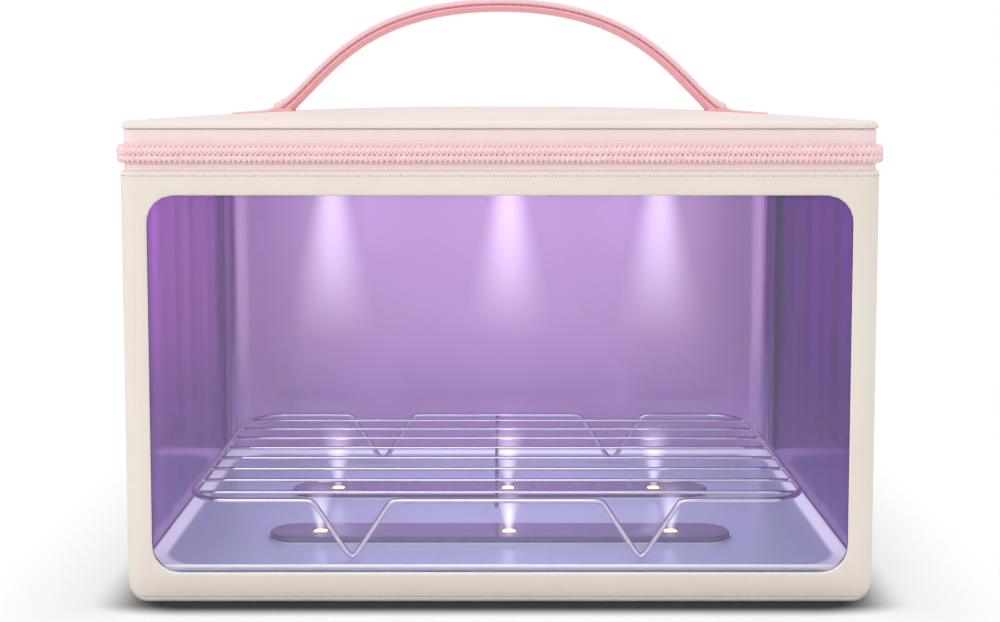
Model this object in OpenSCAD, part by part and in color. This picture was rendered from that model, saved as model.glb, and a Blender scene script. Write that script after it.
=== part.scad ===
// Soft sterilizing case for pacifiers: a leather-covered box with a clear window in its front,
// a zipped lid with a webbing handle, three light bars and a lift-out wire rack.
// x runs to the right, y to the back and z up; the origin is the middle of the base's underside.

/* [Body] */
// Width of the leather body
body_w = 270; // [225:1:330]
// Depth of the leather body
body_d = 194; // [160:1:240]
// Height of the leather body, up to the lower zipper tape
body_h = 155; // [125:1:190]
// Radius of the upright corners
corner_r = 8; // [6.6:0.1:12]
// Radius of the rounded bottom edge
edge_r = 7; // [5.5:0.1:8.5]
// Height of the base panel's rim
rim_h = 2; // [1.6:0.1:2.4]

/* [Walls] */
// Thickness of the leather
skin_t = 1.2; // [0.8:0.1:1.5]
// Thickness of the layer behind the leather: foam, window film and zipper tape
backing_t = 0.6; // [0.5:0.1:0.8]
// Thickness of the stiff boards in the walls
board_t = 2.5; // [2:0.1:3]
// Thickness of the glossy lining
liner_t = 0.5; // [0.4:0.05:0.7]
// Thickness of the board under the floor
base_board_t = 2.5; // [2:0.1:3]
// Depth of the space for the electronics in the rear wall
bay_depth = 7.7; // [7.5:0.1:12]
// Thickness of the board in front of that space
bay_board_t = 1.5; // [1.2:0.1:2.5]
// Radius of the lining's upright corners
liner_r = 7; // [5.8:0.1:9]

/* [Window] */
// Leather left beside the window
window_side = 10.4; // [8.5:0.1:20]
// Leather left below the window
window_sill = 10.9; // [10:0.1:20]
// Leather left above the window
window_head = 8.6; // [7:0.1:16]
// Radius of the window's corners
window_r = 9.5; // [6:0.1:16]
// Margin of the window film that the leather hides
window_lap = 3.6; // [2.5:0.1:3.7]
// How far the film is wrapped round the front corners
film_wrap = 3.3; // [2.2:0.1:4.5]
// How far the boards' cut-out is set back behind the leather's edge
board_setback = 1.1; // [0.5:0.1:1.5]

/* [Zipper] */
// Height of the tape that is sewn behind the leather
tape_lap = 4.5; // [3:0.1:4.6]
// From the leather's edge up to the line where the zipper parts
tape_show = 6; // [5:0.1:9]
// Gap between the two halves of the chain
part_gap = 1; // [0.9:0.1:1.4]
// Radius of one half of the coil
coil_r = 1.3; // [1:0.1:1.6]
// Height left free above and below the parting line, inside the chain
slider_room = 3.7; // [3.2:0.1:4.5]
// Length of the zipper's run along the back, past each rear corner
zip_back_run = 18; // [10:1:30]

/* [Lid] */
// From the parting line up to the lid's leather
band_show = 8.8; // [7.5:0.1:14]
// Height of the lid's upright leather edge and its roll
lid_edge_h = 2.8; // [2.4:0.1:5]
// Radius of the lid's rolled edge
lid_roll = 1.2; // [0.8:0.1:1.5]
// Rise of the lid's padded middle above its edge
lid_crown = 4.3; // [2:0.1:9]
// How far the lid's leather is set in from the body's outline
lid_inset = 0.5; // [0.2:0.1:0.6]
// Thickness of the board in the lid
lid_board_t = 2; // [1.6:0.1:3]
// How far the lid's board reaches below the lid's leather
lid_board_drop = 0.8; // [0.5:0.1:1.2]
// Distance of the hinge line behind the body's rear face
hinge_out = 1.6; // [1.5:0.1:2.5]
// Radius of the hinge's fold
fold_r = 0.8; // [0.5:0.1:0.9]

/* [Floor] */
// Height of the floor above the ground
floor_h = 10; // [9:0.1:16]
// Thickness of the floor tray
tray_t = 1; // [0.8:0.1:1.5]
// Height of the tray's rim above its floor
tray_rim_h = 2; // [1:0.1:5]
// Width of the slope between floor and rim
tray_bevel = 5.2; // [3:0.1:5.6]
// Width of the rim's flat top
tray_lip = 0.8; // [0.6:0.1:1.5]

/* [Lights] */
// Distance from the lining to each end of a light bar
bar_end_gap = 40.7; // [20:0.1:60]
// Width of a light bar
bar_w = 20; // [17:0.1:26]
// Height of a light bar
bar_h = 2.5; // [2.2:0.1:5]
// Thickness of a light bar's top
bar_top_t = 0.8; // [0.5:0.1:1]
// Middle of the front light bar, from the front lining
front_bar_y = 41.2; // [30:0.1:46]
// Middle of the rear light bar, from the rear lining
rear_bar_y = 71.5; // [55:0.1:80]
// Width of the circuit board in a bar
led_board_w = 12; // [9:0.1:14]
// From a bar's end to the end of its circuit board
led_board_gap = 8; // [6:0.1:12]
// Thickness of the circuit board in a bar
led_board_t = 1; // [0.8:0.1:1.2]
// Width of a light chip
led_w = 5; // [3.5:0.1:6]
// Height of a light chip
led_h = 1.3; // [1:0.1:1.4]
// Thickness of a chip's clear window
led_pane_t = 0.4; // [0.3:0.05:0.5]
// Left chip, from the bar's left end
led_left = 19.5; // [12:0.1:30]
// Middle chip, to the right of the bar's middle
led_mid = 3.5; // [-10:0.1:10]
// Right chip, from the bar's right end
led_right = 23; // [12:0.1:30]

/* [Rack] */
// Distance from the rack's frame to the side lining
rack_side_gap = 15.7; // [5:0.1:30]
// Distance from the rack's frame to the front lining
rack_front_gap = 10.2; // [6.5:0.1:20]
// Distance from the rack's frame to the rear lining
rack_rear_gap = 22.6; // [6.5:0.1:30]
// How far the rack stands to the left of the middle
rack_shift = 1.3; // [0:0.1:4]
// Height of the rack's wires above the floor
rack_h = 23; // [15:0.5:45]
// Diameter of the frame's wire
wire_d = 2; // [1.6:0.1:3]
// Diameter of the cross wires
cross_d = 1.5; // [1:0.1:2]
// Spacing of the cross wires
cross_pitch = 17.2; // [12:0.1:24]
// Radius of the rack's corners
rack_r = 17; // [8:0.5:25]
// Distance from the rack's side to the point of a leg
leg_inset = 61.3; // [35:0.1:70]
// Half the width of a leg at its top
leg_half = 14.4; // [8:0.1:18]

/* [Handle] */
// Distance from the body's side to the handle's root
handle_end_gap = 43; // [30:0.5:60]
// Height of the handle's arch above its root
handle_rise = 44.3; // [35:0.1:70]
// Width of the handle's webbing
strap_w = 12; // [8:0.1:20]
// Thickness of the rolled webbing
strap_t = 4.6; // [3:0.1:6]
// Thickness of the flat ends that are sewn to the lid
foot_t = 1.8; // [1:0.1:3]
// Length of a flat end
foot_l = 25; // [20:0.5:40]
// How far a flat end reaches inwards past the root
foot_in = 9; // [7:0.5:12]

/* [Sliders] */
// Length of a slider's body
slider_l = 10; // [8:0.1:13]
// Height of a slider's body
slider_w = 8.4; // [8.2:0.1:9]
// Thickness of a slider's outer plate
slider_t = 1.5; // [1:0.1:2]
// Where the two closed sliders meet, behind the body's middle
slider_meet = 10; // [0:1:30]
// Length of a pull tab
pull_l = 30; // [20:0.5:40]
// Width of a pull tab
pull_w = 7.2; // [5:0.1:8.5]
// Thickness of a pull tab
pull_t = 1.6; // [1.2:0.1:2]
// Radius of the pull's eye
eye_r = 2.2; // [1.8:0.1:2.6]
// Radius of the pin through that eye
pin_r = 0.7; // [0.5:0.05:0.9]

/* [Control plate] */
// Width of the control plate
plate_w = 64; // [60:0.5:80]
// Height of the control plate
plate_h = 24; // [22:0.5:34]
// Height of the control plate's middle above the ground
plate_z = 36; // [30:0.5:60]
// How far the plate stands out of the leather
plate_t = 1.2; // [0.8:0.1:2]
// Width of the plate's flange over the leather round its opening
plate_lip = 3.3; // [2.5:0.1:4]
// Thickness of the plate's face
plate_wall = 2.2; // [1.8:0.1:2.6]
// Length of the posts that carry the circuit board
post_l = 5.7; // [5.2:0.1:6]
// Width of the circuit board behind the plate
pcb_w = 70; // [66:0.5:80]
// Height of the circuit board behind the plate
pcb_h = 24; // [20:0.5:30]
// Thickness of the circuit board behind the plate
pcb_t = 1.2; // [1:0.1:1.6]
// Diameter of the power button
button_d = 10; // [8:0.1:12]
// Travel of the power button
button_travel = 0.8; // [0.5:0.1:0.9]
// Thickness of the flange that keeps the button in
button_flange = 0.8; // [0.6:0.1:1]
// Diameter of the indicator's light guide
lens_d = 3; // [2:0.1:4]
// Width of the battery
battery_w = 60; // [40:1:70]
// Height of the battery
battery_h = 90; // [60:1:100]
// Thickness of the battery
battery_t = 6; // [4:0.1:6.5]
// Width of a flat wire lead
wire_w = 4; // [3:0.1:5]
// Thickness of a flat wire lead
wire_t = 1.2; // [0.8:0.1:1.4]

/* [Fit] */
// Gap between pieces that move past each other
move_gap = 0.3; // [0.25:0.05:0.4]
// Gap round pieces that are laid or pushed into place
lay_gap = 0.2; // [0.1:0.05:0.3]

/* [Hidden] */
$fn = 48;

// Layers of the wall, as depths below the outer face
backing_in = skin_t + backing_t;
board_in = backing_in + board_t;
liner_in = board_in + liner_t;
rear_in = board_in + bay_depth + bay_board_t;

// Depth of a block that cuts through a wall, half of it on each side of the outer face, and
// how far a cut runs past a face
wall_cut = 2 * liner_in + 4;
past = 1;

// Levels of the body
bottom_r = min(edge_r, corner_r - 0.5);
base_top = rim_h + base_board_t;
part_z = body_h + tape_show;
board_top = part_z - slider_room;
tape_low = body_h - tape_lap;
tray_low = floor_h - tray_t;

// The room inside the lining
inner_w = body_w - 2 * liner_in;
inner_front = -body_d / 2 + liner_in;
inner_back = body_d / 2 - rear_in - liner_t;
inner_d = inner_back - inner_front;
inner_mid = (inner_back + inner_front) / 2;
bay_front = inner_back + liner_t + bay_board_t;
bay_back = body_d / 2 - board_in;

// The window
window_w = body_w - 2 * window_side;
window_h = body_h - window_sill - window_head;
window_mid = window_sill + window_h / 2;
film_top = window_sill + window_h + window_lap;

// The zipper
coil_out = 2 * coil_r - skin_t;
hinge_w = body_w - 2 * corner_r - 2 * zip_back_run;
hinge_shoulder = 1.5;

// Levels of the lid, and the steps of its corners and crown
corner_steps = 8;
crown_steps = [0.2, 0.44, 0.62, 0.78, 0.9, 1];
lid_low = part_z + band_show;
lid_edge_z = lid_low + lid_edge_h;
lid_board_z = lid_low - lid_board_drop;
lid_liner_z = lid_board_z - liner_t;

// Light bars and their chips
bar_l = inner_w - 2 * bar_end_gap;
led_board_l = bar_l - 2 * led_board_gap;
led_xs = [-bar_l / 2 + led_left, led_mid, bar_l / 2 - led_right];
front_bar = inner_front + front_bar_y;
rear_bar = inner_back - rear_bar_y;

// The rack
rack_w = inner_w - 2 * rack_side_gap;
rack_d = inner_d - rack_front_gap - rack_rear_gap;
rack_mid = inner_front + rack_front_gap + rack_d / 2;
rack_z = floor_h + rack_h;
leg_x = rack_w / 2 - leg_inset;
leg_z = floor_h + move_gap + wire_d / 2;
cross_count = floor(rack_d / cross_pitch);

// The handle: its root on the lid's crown, and the slope of the crown there
handle_x = body_w / 2 - handle_end_gap;
crown_half = body_w / 2 - lid_inset - lid_roll;
root_z = lid_edge_z + lid_crown * (1 - pow(handle_x / crown_half, 2));
root_slope = atan(2 * lid_crown * handle_x / pow(crown_half, 2));
pivot_z = root_z + foot_t + strap_w / 2 + 2 * move_gap;
handle_top = root_z + handle_rise;
root_lean = 17;
root_lift = 10;
shoulder_in = 29.4;
arch_steps = 20;

// Sliders: heights above the body's outer face
slider_in = coil_out + move_gap;
slider_out = slider_in + slider_t;
pin_x = slider_out + eye_r + move_gap;
ear_t = 1;
ear_r = 1.3;
bridge_w = 7;

// Control plate, its posts and screws, and what sits on the circuit board behind it
plate_face = body_d / 2 + plate_t;
plate_inside = plate_face - plate_wall;
plate_r = 5;
plate_body_w = plate_w - 2 * plate_lip;
plate_body_h = plate_h - 2 * plate_lip;
plate_body_r = 2.5;
pcb_y = plate_inside - post_l;
pcb_back = pcb_y - pcb_t;
post_x = 25;
post_z = 5.6;
post_d = 4.6;
pilot_d = 2;
pilot_l = 4.5;
screw_d = 1.96;
screw_head_d = 3.6;
screw_head_h = 1.2;
screw_bite = 3.6;
button_x = -14;
button_lip = 1.2;
lens_gap = 1;
switch_w = 6;
switch_h = 2.9;
plunger_h = 3.3;
plunger_d = 3.4;
usb_x = 15;
usb_w = 8.9;
usb_h = 3.2;
usb_l = 7.3;
usb_shell = 0.3;
usb_tongue = [6.6, 0.7];
usb_back = 0.8;

// Parts on the back of the circuit board: left edge from its middle, lower edge from its
// middle, width, height and thickness
board_parts = [
  [-4, 1, 7, 7, 2.6], [-32, -3, 5, 6, 1], [8, -8, 9, 7, 1.2],
  [28.3, -9, 2.4, 4, 1.6], [31.8, -9, 2.4, 4, 1.6]
];
indicator = [2, 0.7, 1];

// Battery, sensor, magnet and leads
battery_gap = 8;
battery_lift = 12;
battery_x = -(pcb_w / 2 + battery_gap + battery_w / 2);
channel_w = wire_w + 2;
sensor_x = 26;
sensor_size = [14, 2.4, 4];
sensor_drop = 5;
magnet_d = 8;
magnet_t = 1.5;
magnet_y = -8;
groove_w = wire_w + 1;
lead_x = 12;
lead_y = (bay_front + bay_back) / 2;
lead_t = 1;

// A rectangle with round corners, about its own middle
module rounded_rect(w, d, r) {
  square([w - 2 * r, d], center = true);
  square([w, d - 2 * r], center = true);
  for (sx = [-1, 1], sy = [-1, 1])
    translate([sx * (w / 2 - r), sy * (d / 2 - r)]) circle(r = r);
}

// A slab between two heights that follows the body's outline at a depth below its outer face
module inset_slab(depth, low, high) {
  translate([0, 0, low])
    linear_extrude(high - low)
      rounded_rect(body_w - 2 * depth, body_d - 2 * depth, max(corner_r - depth, 0.6));
}

// Carries a section round a rounded rectangle; the section's x runs outwards from the
// rectangle's outline and its y is the height. A gap leaves the middle of the back open.
module wrap(w, d, r, gap = 0) {
  for (side = [0:3]) {
    across = side % 2 == 0 ? w : d;
    along = side % 2 == 0 ? d : w;
    rotate(90 * side) {
      if (side == 1 && gap > 0) {
        run = along / 2 - r - gap / 2;
        for (s = [-1, 1])
          translate([across / 2, s * (gap / 2 + run / 2), 0]) straight_run(run) children();
      } else {
        translate([across / 2, 0, 0]) straight_run(along - 2 * r) children();
      }
      translate([across / 2 - r, along / 2 - r, 0])
        rotate_extrude(angle = 90) translate([r, 0]) children();
    }
  }
}

// One straight stretch of a wrapped section
module straight_run(length) {
  rotate([90, 0, 0]) linear_extrude(length, center = true) children();
}

// Section of everything that lies deeper than a given depth below the body's outer face
module deeper_than(depth) {
  translate([-bottom_r, bottom_r]) circle(r = bottom_r - depth);
  translate([-bottom_r, bottom_r]) square([bottom_r - depth, part_z]);
}

// Section of one soft layer of the wall, which follows the rounded bottom edge
module layer_section(outer, inner, low, high) {
  intersection() {
    difference() {
      deeper_than(outer);
      deeper_than(inner);
    }
    translate([-bottom_r, low]) square([bottom_r, high - low]);
  }
}

// Section of a stiff board, straight inside and rounded only where it meets the bottom edge
module board_section() {
  intersection() {
    deeper_than(backing_in);
    translate([-board_in, base_top]) square([board_in, board_top - base_top]);
  }
}

// All wall boards in one ring, before they are parted
module board_ring() {
  wrap(body_w, body_d, corner_r) board_section();
}

// Block that cuts the window's shape, larger than the window by a margin
module window_cut(margin) {
  translate([0, -body_d / 2, window_mid])
    rotate([90, 0, 0])
      linear_extrude(wall_cut, center = true)
        rounded_rect(window_w + 2 * margin, window_h + 2 * margin, window_r + margin);
}

// Block that cuts the control plate's opening in the rear wall
module plate_cut() {
  translate([0, body_d / 2, plate_z])
    rotate([90, 0, 0])
      linear_extrude(wall_cut, center = true)
        rounded_rect(plate_body_w + 2 * move_gap, plate_body_h + 2 * move_gap,
                     plate_body_r + move_gap);
}

// Front region of the wall that the window film fills
module film_region(margin) {
  low = window_sill - window_lap - margin;
  high = film_top + margin;
  translate([-body_w / 2, -body_d / 2 - past, low])
    cube([body_w, film_wrap + margin + past, high - low]);
}

// Leather-covered base sheet with a rounded rim
module base_panel() {
  color("#e4dccf") {
    wrap(body_w, body_d, corner_r)
      intersection() {
        deeper_than(0);
        translate([-bottom_r, 0]) square([bottom_r, rim_h]);
      }
    inset_slab(bottom_r, 0, rim_h);
  }
}

// Stiff board that carries the floor
module base_board() {
  edge = bottom_r - sqrt(pow(bottom_r - skin_t, 2) - pow(bottom_r - rim_h, 2)) + lay_gap;
  color("#b9a68c") inset_slab(edge, rim_h, base_top);
}

// Foam pad under the tray, with a channel for the wires
module base_foam() {
  front = -body_d / 2 + board_in + lay_gap;
  back = bay_front - bay_board_t - lay_gap;
  channel_front = front_bar - wire_w;
  color("#5a5a60")
    difference() {
      translate([0, (front + back) / 2, base_top])
        linear_extrude(tray_low - base_top)
          rounded_rect(body_w - 2 * board_in - 2 * lay_gap, back - front, corner_r - board_in);
      translate([-channel_w / 2, channel_front, base_top - past])
        cube([channel_w, back + past - channel_front, tray_low]);
    }
}

// Leather skin with the window's opening and the control plate's opening
module leather_wrap() {
  color("#ece7e0")
    difference() {
      wrap(body_w, body_d, corner_r) layer_section(0, skin_t, rim_h, body_h);
      window_cut(0);
      plate_cut();
    }
}

// Thin foam between the leather and the boards, cut out for the window film
module backing_foam() {
  color("#f2f0ea")
    difference() {
      wrap(body_w, body_d, corner_r)
        layer_section(skin_t, backing_in, base_top, tape_low - lay_gap);
      film_region(lay_gap);
      plate_cut();
    }
}

// Clear film behind the leather's opening, wrapped round the front corners
module window_pane() {
  color("#dfe8ff", 0.35)
    intersection() {
      wrap(body_w, body_d, corner_r) layer_section(skin_t, backing_in, rim_h, film_top);
      film_region(0);
    }
}

// Front board with its window, bent round both front corners
module front_board() {
  color("#b9a68c")
    difference() {
      intersection() {
        board_ring();
        translate([-body_w / 2, -body_d / 2, 0]) cube([body_w, corner_r, part_z]);
      }
      window_cut(board_setback);
    }
}

// Flat board of the right wall, between the bent boards
module right_board() {
  color("#b9a68c")
    translate([body_w / 2, 0, 0]) straight_run(body_d - 2 * corner_r) board_section();
}

// Flat board of the left wall
module left_board() {
  mirror([1, 0, 0]) right_board();
}

// Back board, bent round both rear corners, with the control plate's opening
module back_board() {
  color("#b9a68c")
    difference() {
      intersection() {
        board_ring();
        translate([-body_w / 2, body_d / 2 - corner_r, 0]) cube([body_w, corner_r, part_z]);
      }
      plate_cut();
    }
}

// Board in front of the electronics, with a cap that closes their space from above
module bay_board() {
  half = body_w / 2 - board_in - lay_gap;
  cap_half = body_w / 2 - corner_r - lay_gap;
  board_front = bay_front - bay_board_t;
  color("#b9a68c")
    difference() {
      union() {
        translate([-half, board_front, base_top])
          cube([2 * half, bay_board_t, board_top - base_top]);
        translate([-cap_half, board_front, board_top - bay_board_t])
          cube([2 * cap_half, bay_back - board_front - lay_gap, bay_board_t]);
      }
      translate([-channel_w / 2, board_front - past, base_top - past])
        cube([channel_w, bay_board_t + 2 * past, wire_t + 2 * past]);
      translate([lead_x - channel_w / 2, lead_y - wire_t, board_top - bay_board_t - past])
        cube([channel_w, 2 * wire_t, bay_board_t + 2 * past]);
    }
}

// Glossy lining of the four walls
module wall_liner() {
  outer_w = inner_w + 2 * liner_t;
  outer_d = inner_d + 2 * liner_t;
  color("#a98bc9")
    difference() {
      translate([0, inner_mid, tray_low])
        linear_extrude(board_top - tray_low)
          difference() {
            rounded_rect(outer_w, outer_d, liner_r);
            rounded_rect(inner_w, inner_d, liner_r - liner_t);
          }
      window_cut(board_setback);
    }
}

// Formed floor tray: a flat floor inside a sloping rim
module floor_tray() {
  w = inner_w - 2 * lay_gap;
  d = inner_d - 2 * lay_gap;
  r = liner_r - liner_t;
  weld = 0.5;
  top = floor_h + tray_rim_h;
  color("#9b9dca")
    difference() {
      translate([0, inner_mid, 0]) {
        wrap(w, d, r)
          polygon([
            [0, top], [0, top - tray_t], [-tray_lip, top - tray_t], [-tray_bevel, tray_low],
            [-r + weld, tray_low], [-r + weld, floor_h], [-tray_bevel, floor_h], [-tray_lip, top]
          ]);
        translate([0, 0, tray_low])
          linear_extrude(tray_t) rounded_rect(w - 2 * (r - weld), d - 2 * (r - weld), weld);
      }
      for (bar_y = [front_bar, rear_bar])
        translate([0, bar_y, tray_low - past]) cylinder(h = tray_t + 2 * past, d = channel_w);
    }
}

// A long shape with half-round ends, along x
module stadium(length, width) {
  rounded_rect(length, width, width / 2 - 0.01);
}

// Cover of one light bar, standing on z = 0, with a square opening over each chip
module led_bar() {
  color("#816e9d")
    difference() {
      linear_extrude(bar_h) stadium(bar_l, bar_w);
      translate([0, 0, -past])
        linear_extrude(bar_h - bar_top_t + past)
          stadium(led_board_l + 2 * lay_gap, led_board_w + 2 * lay_gap);
      for (x = led_xs)
        translate([x, 0, 0])
          cube([led_w + 2 * move_gap, led_w + 2 * move_gap, 3 * bar_h], center = true);
    }
}

// Circuit board of one light bar
module led_board() {
  color("#e8e6df") linear_extrude(led_board_t) stadium(led_board_l, led_board_w);
}

// Light chips of one bar: a ceramic base with a raised clear window
module leds() {
  color("#fff4b8")
    for (x = led_xs)
      translate([x, 0, led_board_t]) {
        translate([-led_w / 2, -led_w / 2, 0]) cube([led_w, led_w, led_h - led_pane_t]);
        translate([0, 0, led_h - led_pane_t])
          linear_extrude(led_pane_t) rounded_rect(led_w - 1, led_w - 1, 0.5);
      }
}

// Light bar on the floor, near the window
module front_led_bar() {
  translate([0, front_bar, floor_h]) led_bar();
}

// Light bar on the floor, near the back
module rear_led_bar() {
  translate([0, rear_bar, floor_h]) led_bar();
}

// Circuit board of the front bar
module front_led_board() {
  translate([0, front_bar, floor_h]) led_board();
}

// Circuit board of the rear bar
module rear_led_board() {
  translate([0, rear_bar, floor_h]) led_board();
}

// Chips of the front bar
module front_leds() {
  translate([0, front_bar, floor_h]) leds();
}

// Chips of the rear bar
module rear_leds() {
  translate([0, rear_bar, floor_h]) leds();
}

// Flat pouch battery in the rear wall, beside the control plate
module battery_pack() {
  color("#b8bcc2")
    translate([battery_x, bay_back - lay_gap, base_top + battery_lift + battery_h / 2])
      rotate([90, 0, 0]) linear_extrude(battery_t) rounded_rect(battery_w, battery_h, 2);
}

// Puts a round part, whose axis runs towards the front, at each of the four posts
module at_posts(y) {
  for (sx = [-1, 1], sz = [-1, 1])
    translate([sx * post_x, y, plate_z + sz * post_z]) rotate([90, 0, 0]) children();
}

// Circuit board behind the control plate
module driver_board() {
  color("#2f6b4a")
    difference() {
      translate([-pcb_w / 2, pcb_back, plate_z - pcb_h / 2]) cube([pcb_w, pcb_t, pcb_h]);
      at_posts(pcb_y + past) cylinder(h = pcb_t + 2 * past, d = screw_d + 2 * lay_gap);
    }
}

// Coil, capacitors, chips and indicator light on the circuit board
module driver_parts() {
  color("#303236") {
    for (p = board_parts)
      translate([p[0], pcb_back - p[4], plate_z + p[1]]) cube([p[2], p[4], p[3]]);
    translate([-indicator.x / 2, pcb_y, plate_z - indicator.z / 2]) cube(indicator);
  }
}

// Push switch under the power button
module tact_switch() {
  color("#26282b")
    translate([button_x, pcb_y, plate_z]) {
      translate([-switch_w / 2, 0, -switch_w / 2]) cube([switch_w, switch_h, switch_w]);
      rotate([-90, 0, 0]) cylinder(h = plunger_h, d = plunger_d);
    }
}

// Charging socket: an oval metal shell with its tongue
module usb_socket() {
  inner = [usb_w - 2 * usb_shell, usb_h - 2 * usb_shell];
  color("#b9bcc0")
    translate([usb_x, pcb_y + usb_l, plate_z])
      rotate([90, 0, 0]) {
        difference() {
          linear_extrude(usb_l) rounded_rect(usb_w, usb_h, usb_h / 2 - 0.05);
          translate([0, 0, -past])
            linear_extrude(usb_l - usb_back + past)
              rounded_rect(inner.x, inner.y, inner.y / 2 - 0.05);
        }
        translate([0, 0, usb_back])
          linear_extrude(usb_l - usb_back) square(usb_tongue, center = true);
      }
}

// Moulded plate with the button's bore, the lens's bore and the socket's slot
module control_plate() {
  bore_l = plate_wall + 2 * past;
  color("#f4f2ee")
    difference() {
      union() {
        translate([0, plate_face, plate_z])
          rotate([90, 0, 0]) linear_extrude(plate_t) rounded_rect(plate_w, plate_h, plate_r);
        difference() {
          translate([0, body_d / 2, plate_z])
            rotate([90, 0, 0])
              linear_extrude(board_in) rounded_rect(plate_body_w, plate_body_h, plate_body_r);
          translate([0, plate_inside, plate_z])
            rotate([90, 0, 0])
              linear_extrude(board_in)
                rounded_rect(plate_body_w - 3, plate_body_h - 3, plate_body_r / 2);
        }
        at_posts(plate_inside + 0.1) cylinder(h = post_l + 0.1, d = post_d);
      }
      at_posts(pcb_y + pilot_l) cylinder(h = pilot_l + past, d = pilot_d);
      translate([0, plate_face + past, plate_z])
        rotate([90, 0, 0]) {
          translate([button_x, 0, 0]) cylinder(h = bore_l, d = button_d + 2 * move_gap);
          cylinder(h = bore_l, d = lens_d);
          translate([usb_x, 0, 0])
            linear_extrude(bore_l)
              rounded_rect(usb_w + 2 * move_gap, usb_h + 2 * move_gap, usb_h / 2 + move_gap - 0.05);
        }
    }
}

// Light guide over the indicator
module status_lens() {
  color("#e9f2ff")
    translate([0, plate_face, plate_z])
      rotate([90, 0, 0]) cylinder(h = plate_face - pcb_y - lens_gap, d = lens_d - 0.04);
}

// Four small screws that hold the circuit board to the plate's posts
module board_screws() {
  color("#9a9da1")
    at_posts(pcb_back) {
      cylinder(h = screw_head_h, d = screw_head_d);
      translate([0, 0, -pcb_t - screw_bite]) cylinder(h = pcb_t + screw_bite + 0.1, d = screw_d);
    }
}

// Sensor that feels the lid's magnet and puts the lights out when the lid is open
module lid_sensor() {
  color("#26282b")
    translate([sensor_x, bay_back - lay_gap - sensor_size.y, board_top - bay_board_t - sensor_drop])
      translate([-sensor_size.x / 2, 0, 0]) cube(sensor_size);
}

// One flat stretch of wire lead, from one corner to the opposite one
module lead(low, high) {
  translate(low) cube(high - low);
}

// Leads from the circuit board to the two floor bars, the battery, the sensor and the lid
module wiring_harness() {
  half = wire_w / 2;
  run_low = base_top + 0.4;
  bay_y = bay_front + 0.6;
  board_low = plate_z - pcb_h / 2;
  board_high = plate_z + pcb_h / 2;
  solder = 4;
  tail = 2;
  battery_end = battery_x + battery_w / 2;
  battery_z = board_high - 6;
  lid_z = board_high + 2;
  sensor_z = board_top - bay_board_t - sensor_drop + 1;
  color("#3b3b44") {
    lead([-half, front_bar - half, run_low], [half, bay_y + wire_t, run_low + wire_t]);
    for (bar_y = [front_bar, rear_bar])
      lead([-half, bar_y - wire_t / 2, run_low], [half, bar_y + wire_t / 2, floor_h]);
    lead([-half, bay_y, run_low], [half, bay_y + wire_t, board_low + solder]);
    lead([-half, bay_y, board_low + solder - tail], [half, pcb_back, board_low + solder]);
    lead([battery_end, pcb_back - lead_t, battery_z],
         [solder - pcb_w / 2, pcb_back, battery_z + tail]);
    lead([lead_x - half, pcb_back - lead_t, board_high - solder],
         [lead_x + half, pcb_back, board_high + solder]);
    lead([lead_x - half, lead_y - lead_t / 2, lid_z], [lead_x + half, pcb_back, lid_z + tail]);
    lead([lead_x - half, lead_y - lead_t / 2, lid_z],
         [lead_x + half, lead_y + lead_t / 2, part_z - part_gap + 0.2]);
    lead([lead_x, lead_y - lead_t / 2, sensor_z],
         [sensor_x - sensor_size.x / 2, lead_y + lead_t / 2, sensor_z + tail]);
  }
}

// Lower zipper tape, sewn behind the leather's edge
module lower_zip_tape() {
  color("#eed2d5")
    wrap(body_w, body_d, corner_r, hinge_w)
      translate([-backing_in, tape_low])
        square([backing_t, part_z - part_gap / 2 - tape_low]);
}

// Section of one half of the coil, with its flat side on the tape and its foot at height 0
module coil_section() {
  translate([coil_r - skin_t, coil_r]) circle(r = coil_r);
  translate([-skin_t, 0]) square([coil_r, 2 * coil_r]);
}

// Lower half of the zipper's coil
module lower_zip_coil() {
  color("#f0b9c1")
    translate([0, 0, part_z - part_gap / 2 - 2 * coil_r])
      wrap(body_w, body_d, corner_r, hinge_w) coil_section();
}

// Lower half of the hinge strip, up to the fold on the hinge line
module hinge_lower() {
  foot = body_h + lay_gap;
  shoulder = part_z - hinge_shoulder;
  reach = fold_r * cos(45);
  color("#eed2d5")
    translate([0, body_d / 2, 0])
      rotate([90, 0, 90])
        linear_extrude(hinge_w - 2 * lay_gap, center = true) {
          translate([-backing_in, tape_low]) square([backing_t, foot - tape_low]);
          translate([-backing_in, foot]) square([backing_in, shoulder - foot]);
          polygon([
            [-skin_t, shoulder], [0, shoulder - hinge_shoulder],
            [hinge_out + reach, part_z - reach], [hinge_out - reach, part_z + reach]
          ]);
          translate([hinge_out, part_z]) circle(r = fold_r);
        }
}

// Corner points of one level of the lid, a rounded rectangle at a height
function level_points(w, d, r, z) = [
  for (corner = [0:3], step = [0:corner_steps])
    let (sx = corner == 0 || corner == 3 ? 1 : -1, sy = corner < 2 ? 1 : -1)
    let (turn = 90 * (corner + step / corner_steps))
    [sx * (w / 2 - r) + r * cos(turn), sy * (d / 2 - r) + r * sin(turn), z]
];

// Size, corner radius and height of the lid's edge, less a margin on all sides
function lid_edge(less) = [
  body_w - 2 * lid_inset - 2 * less, body_d - 2 * lid_inset - 2 * less,
  corner_r - lid_inset - less, lid_edge_z - less
];

// Levels of the lid's crown, from near its middle out to where the edge rolls over
function crown_levels(less) =
  let (edge = lid_edge(less))
  [
    for (s = crown_steps)
      level_points((edge[0] - 2 * lid_roll) * s, (edge[1] - 2 * lid_roll) * s, edge[2] * s,
                   edge[3] + lid_crown * (1 - s * s))
  ];

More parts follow.
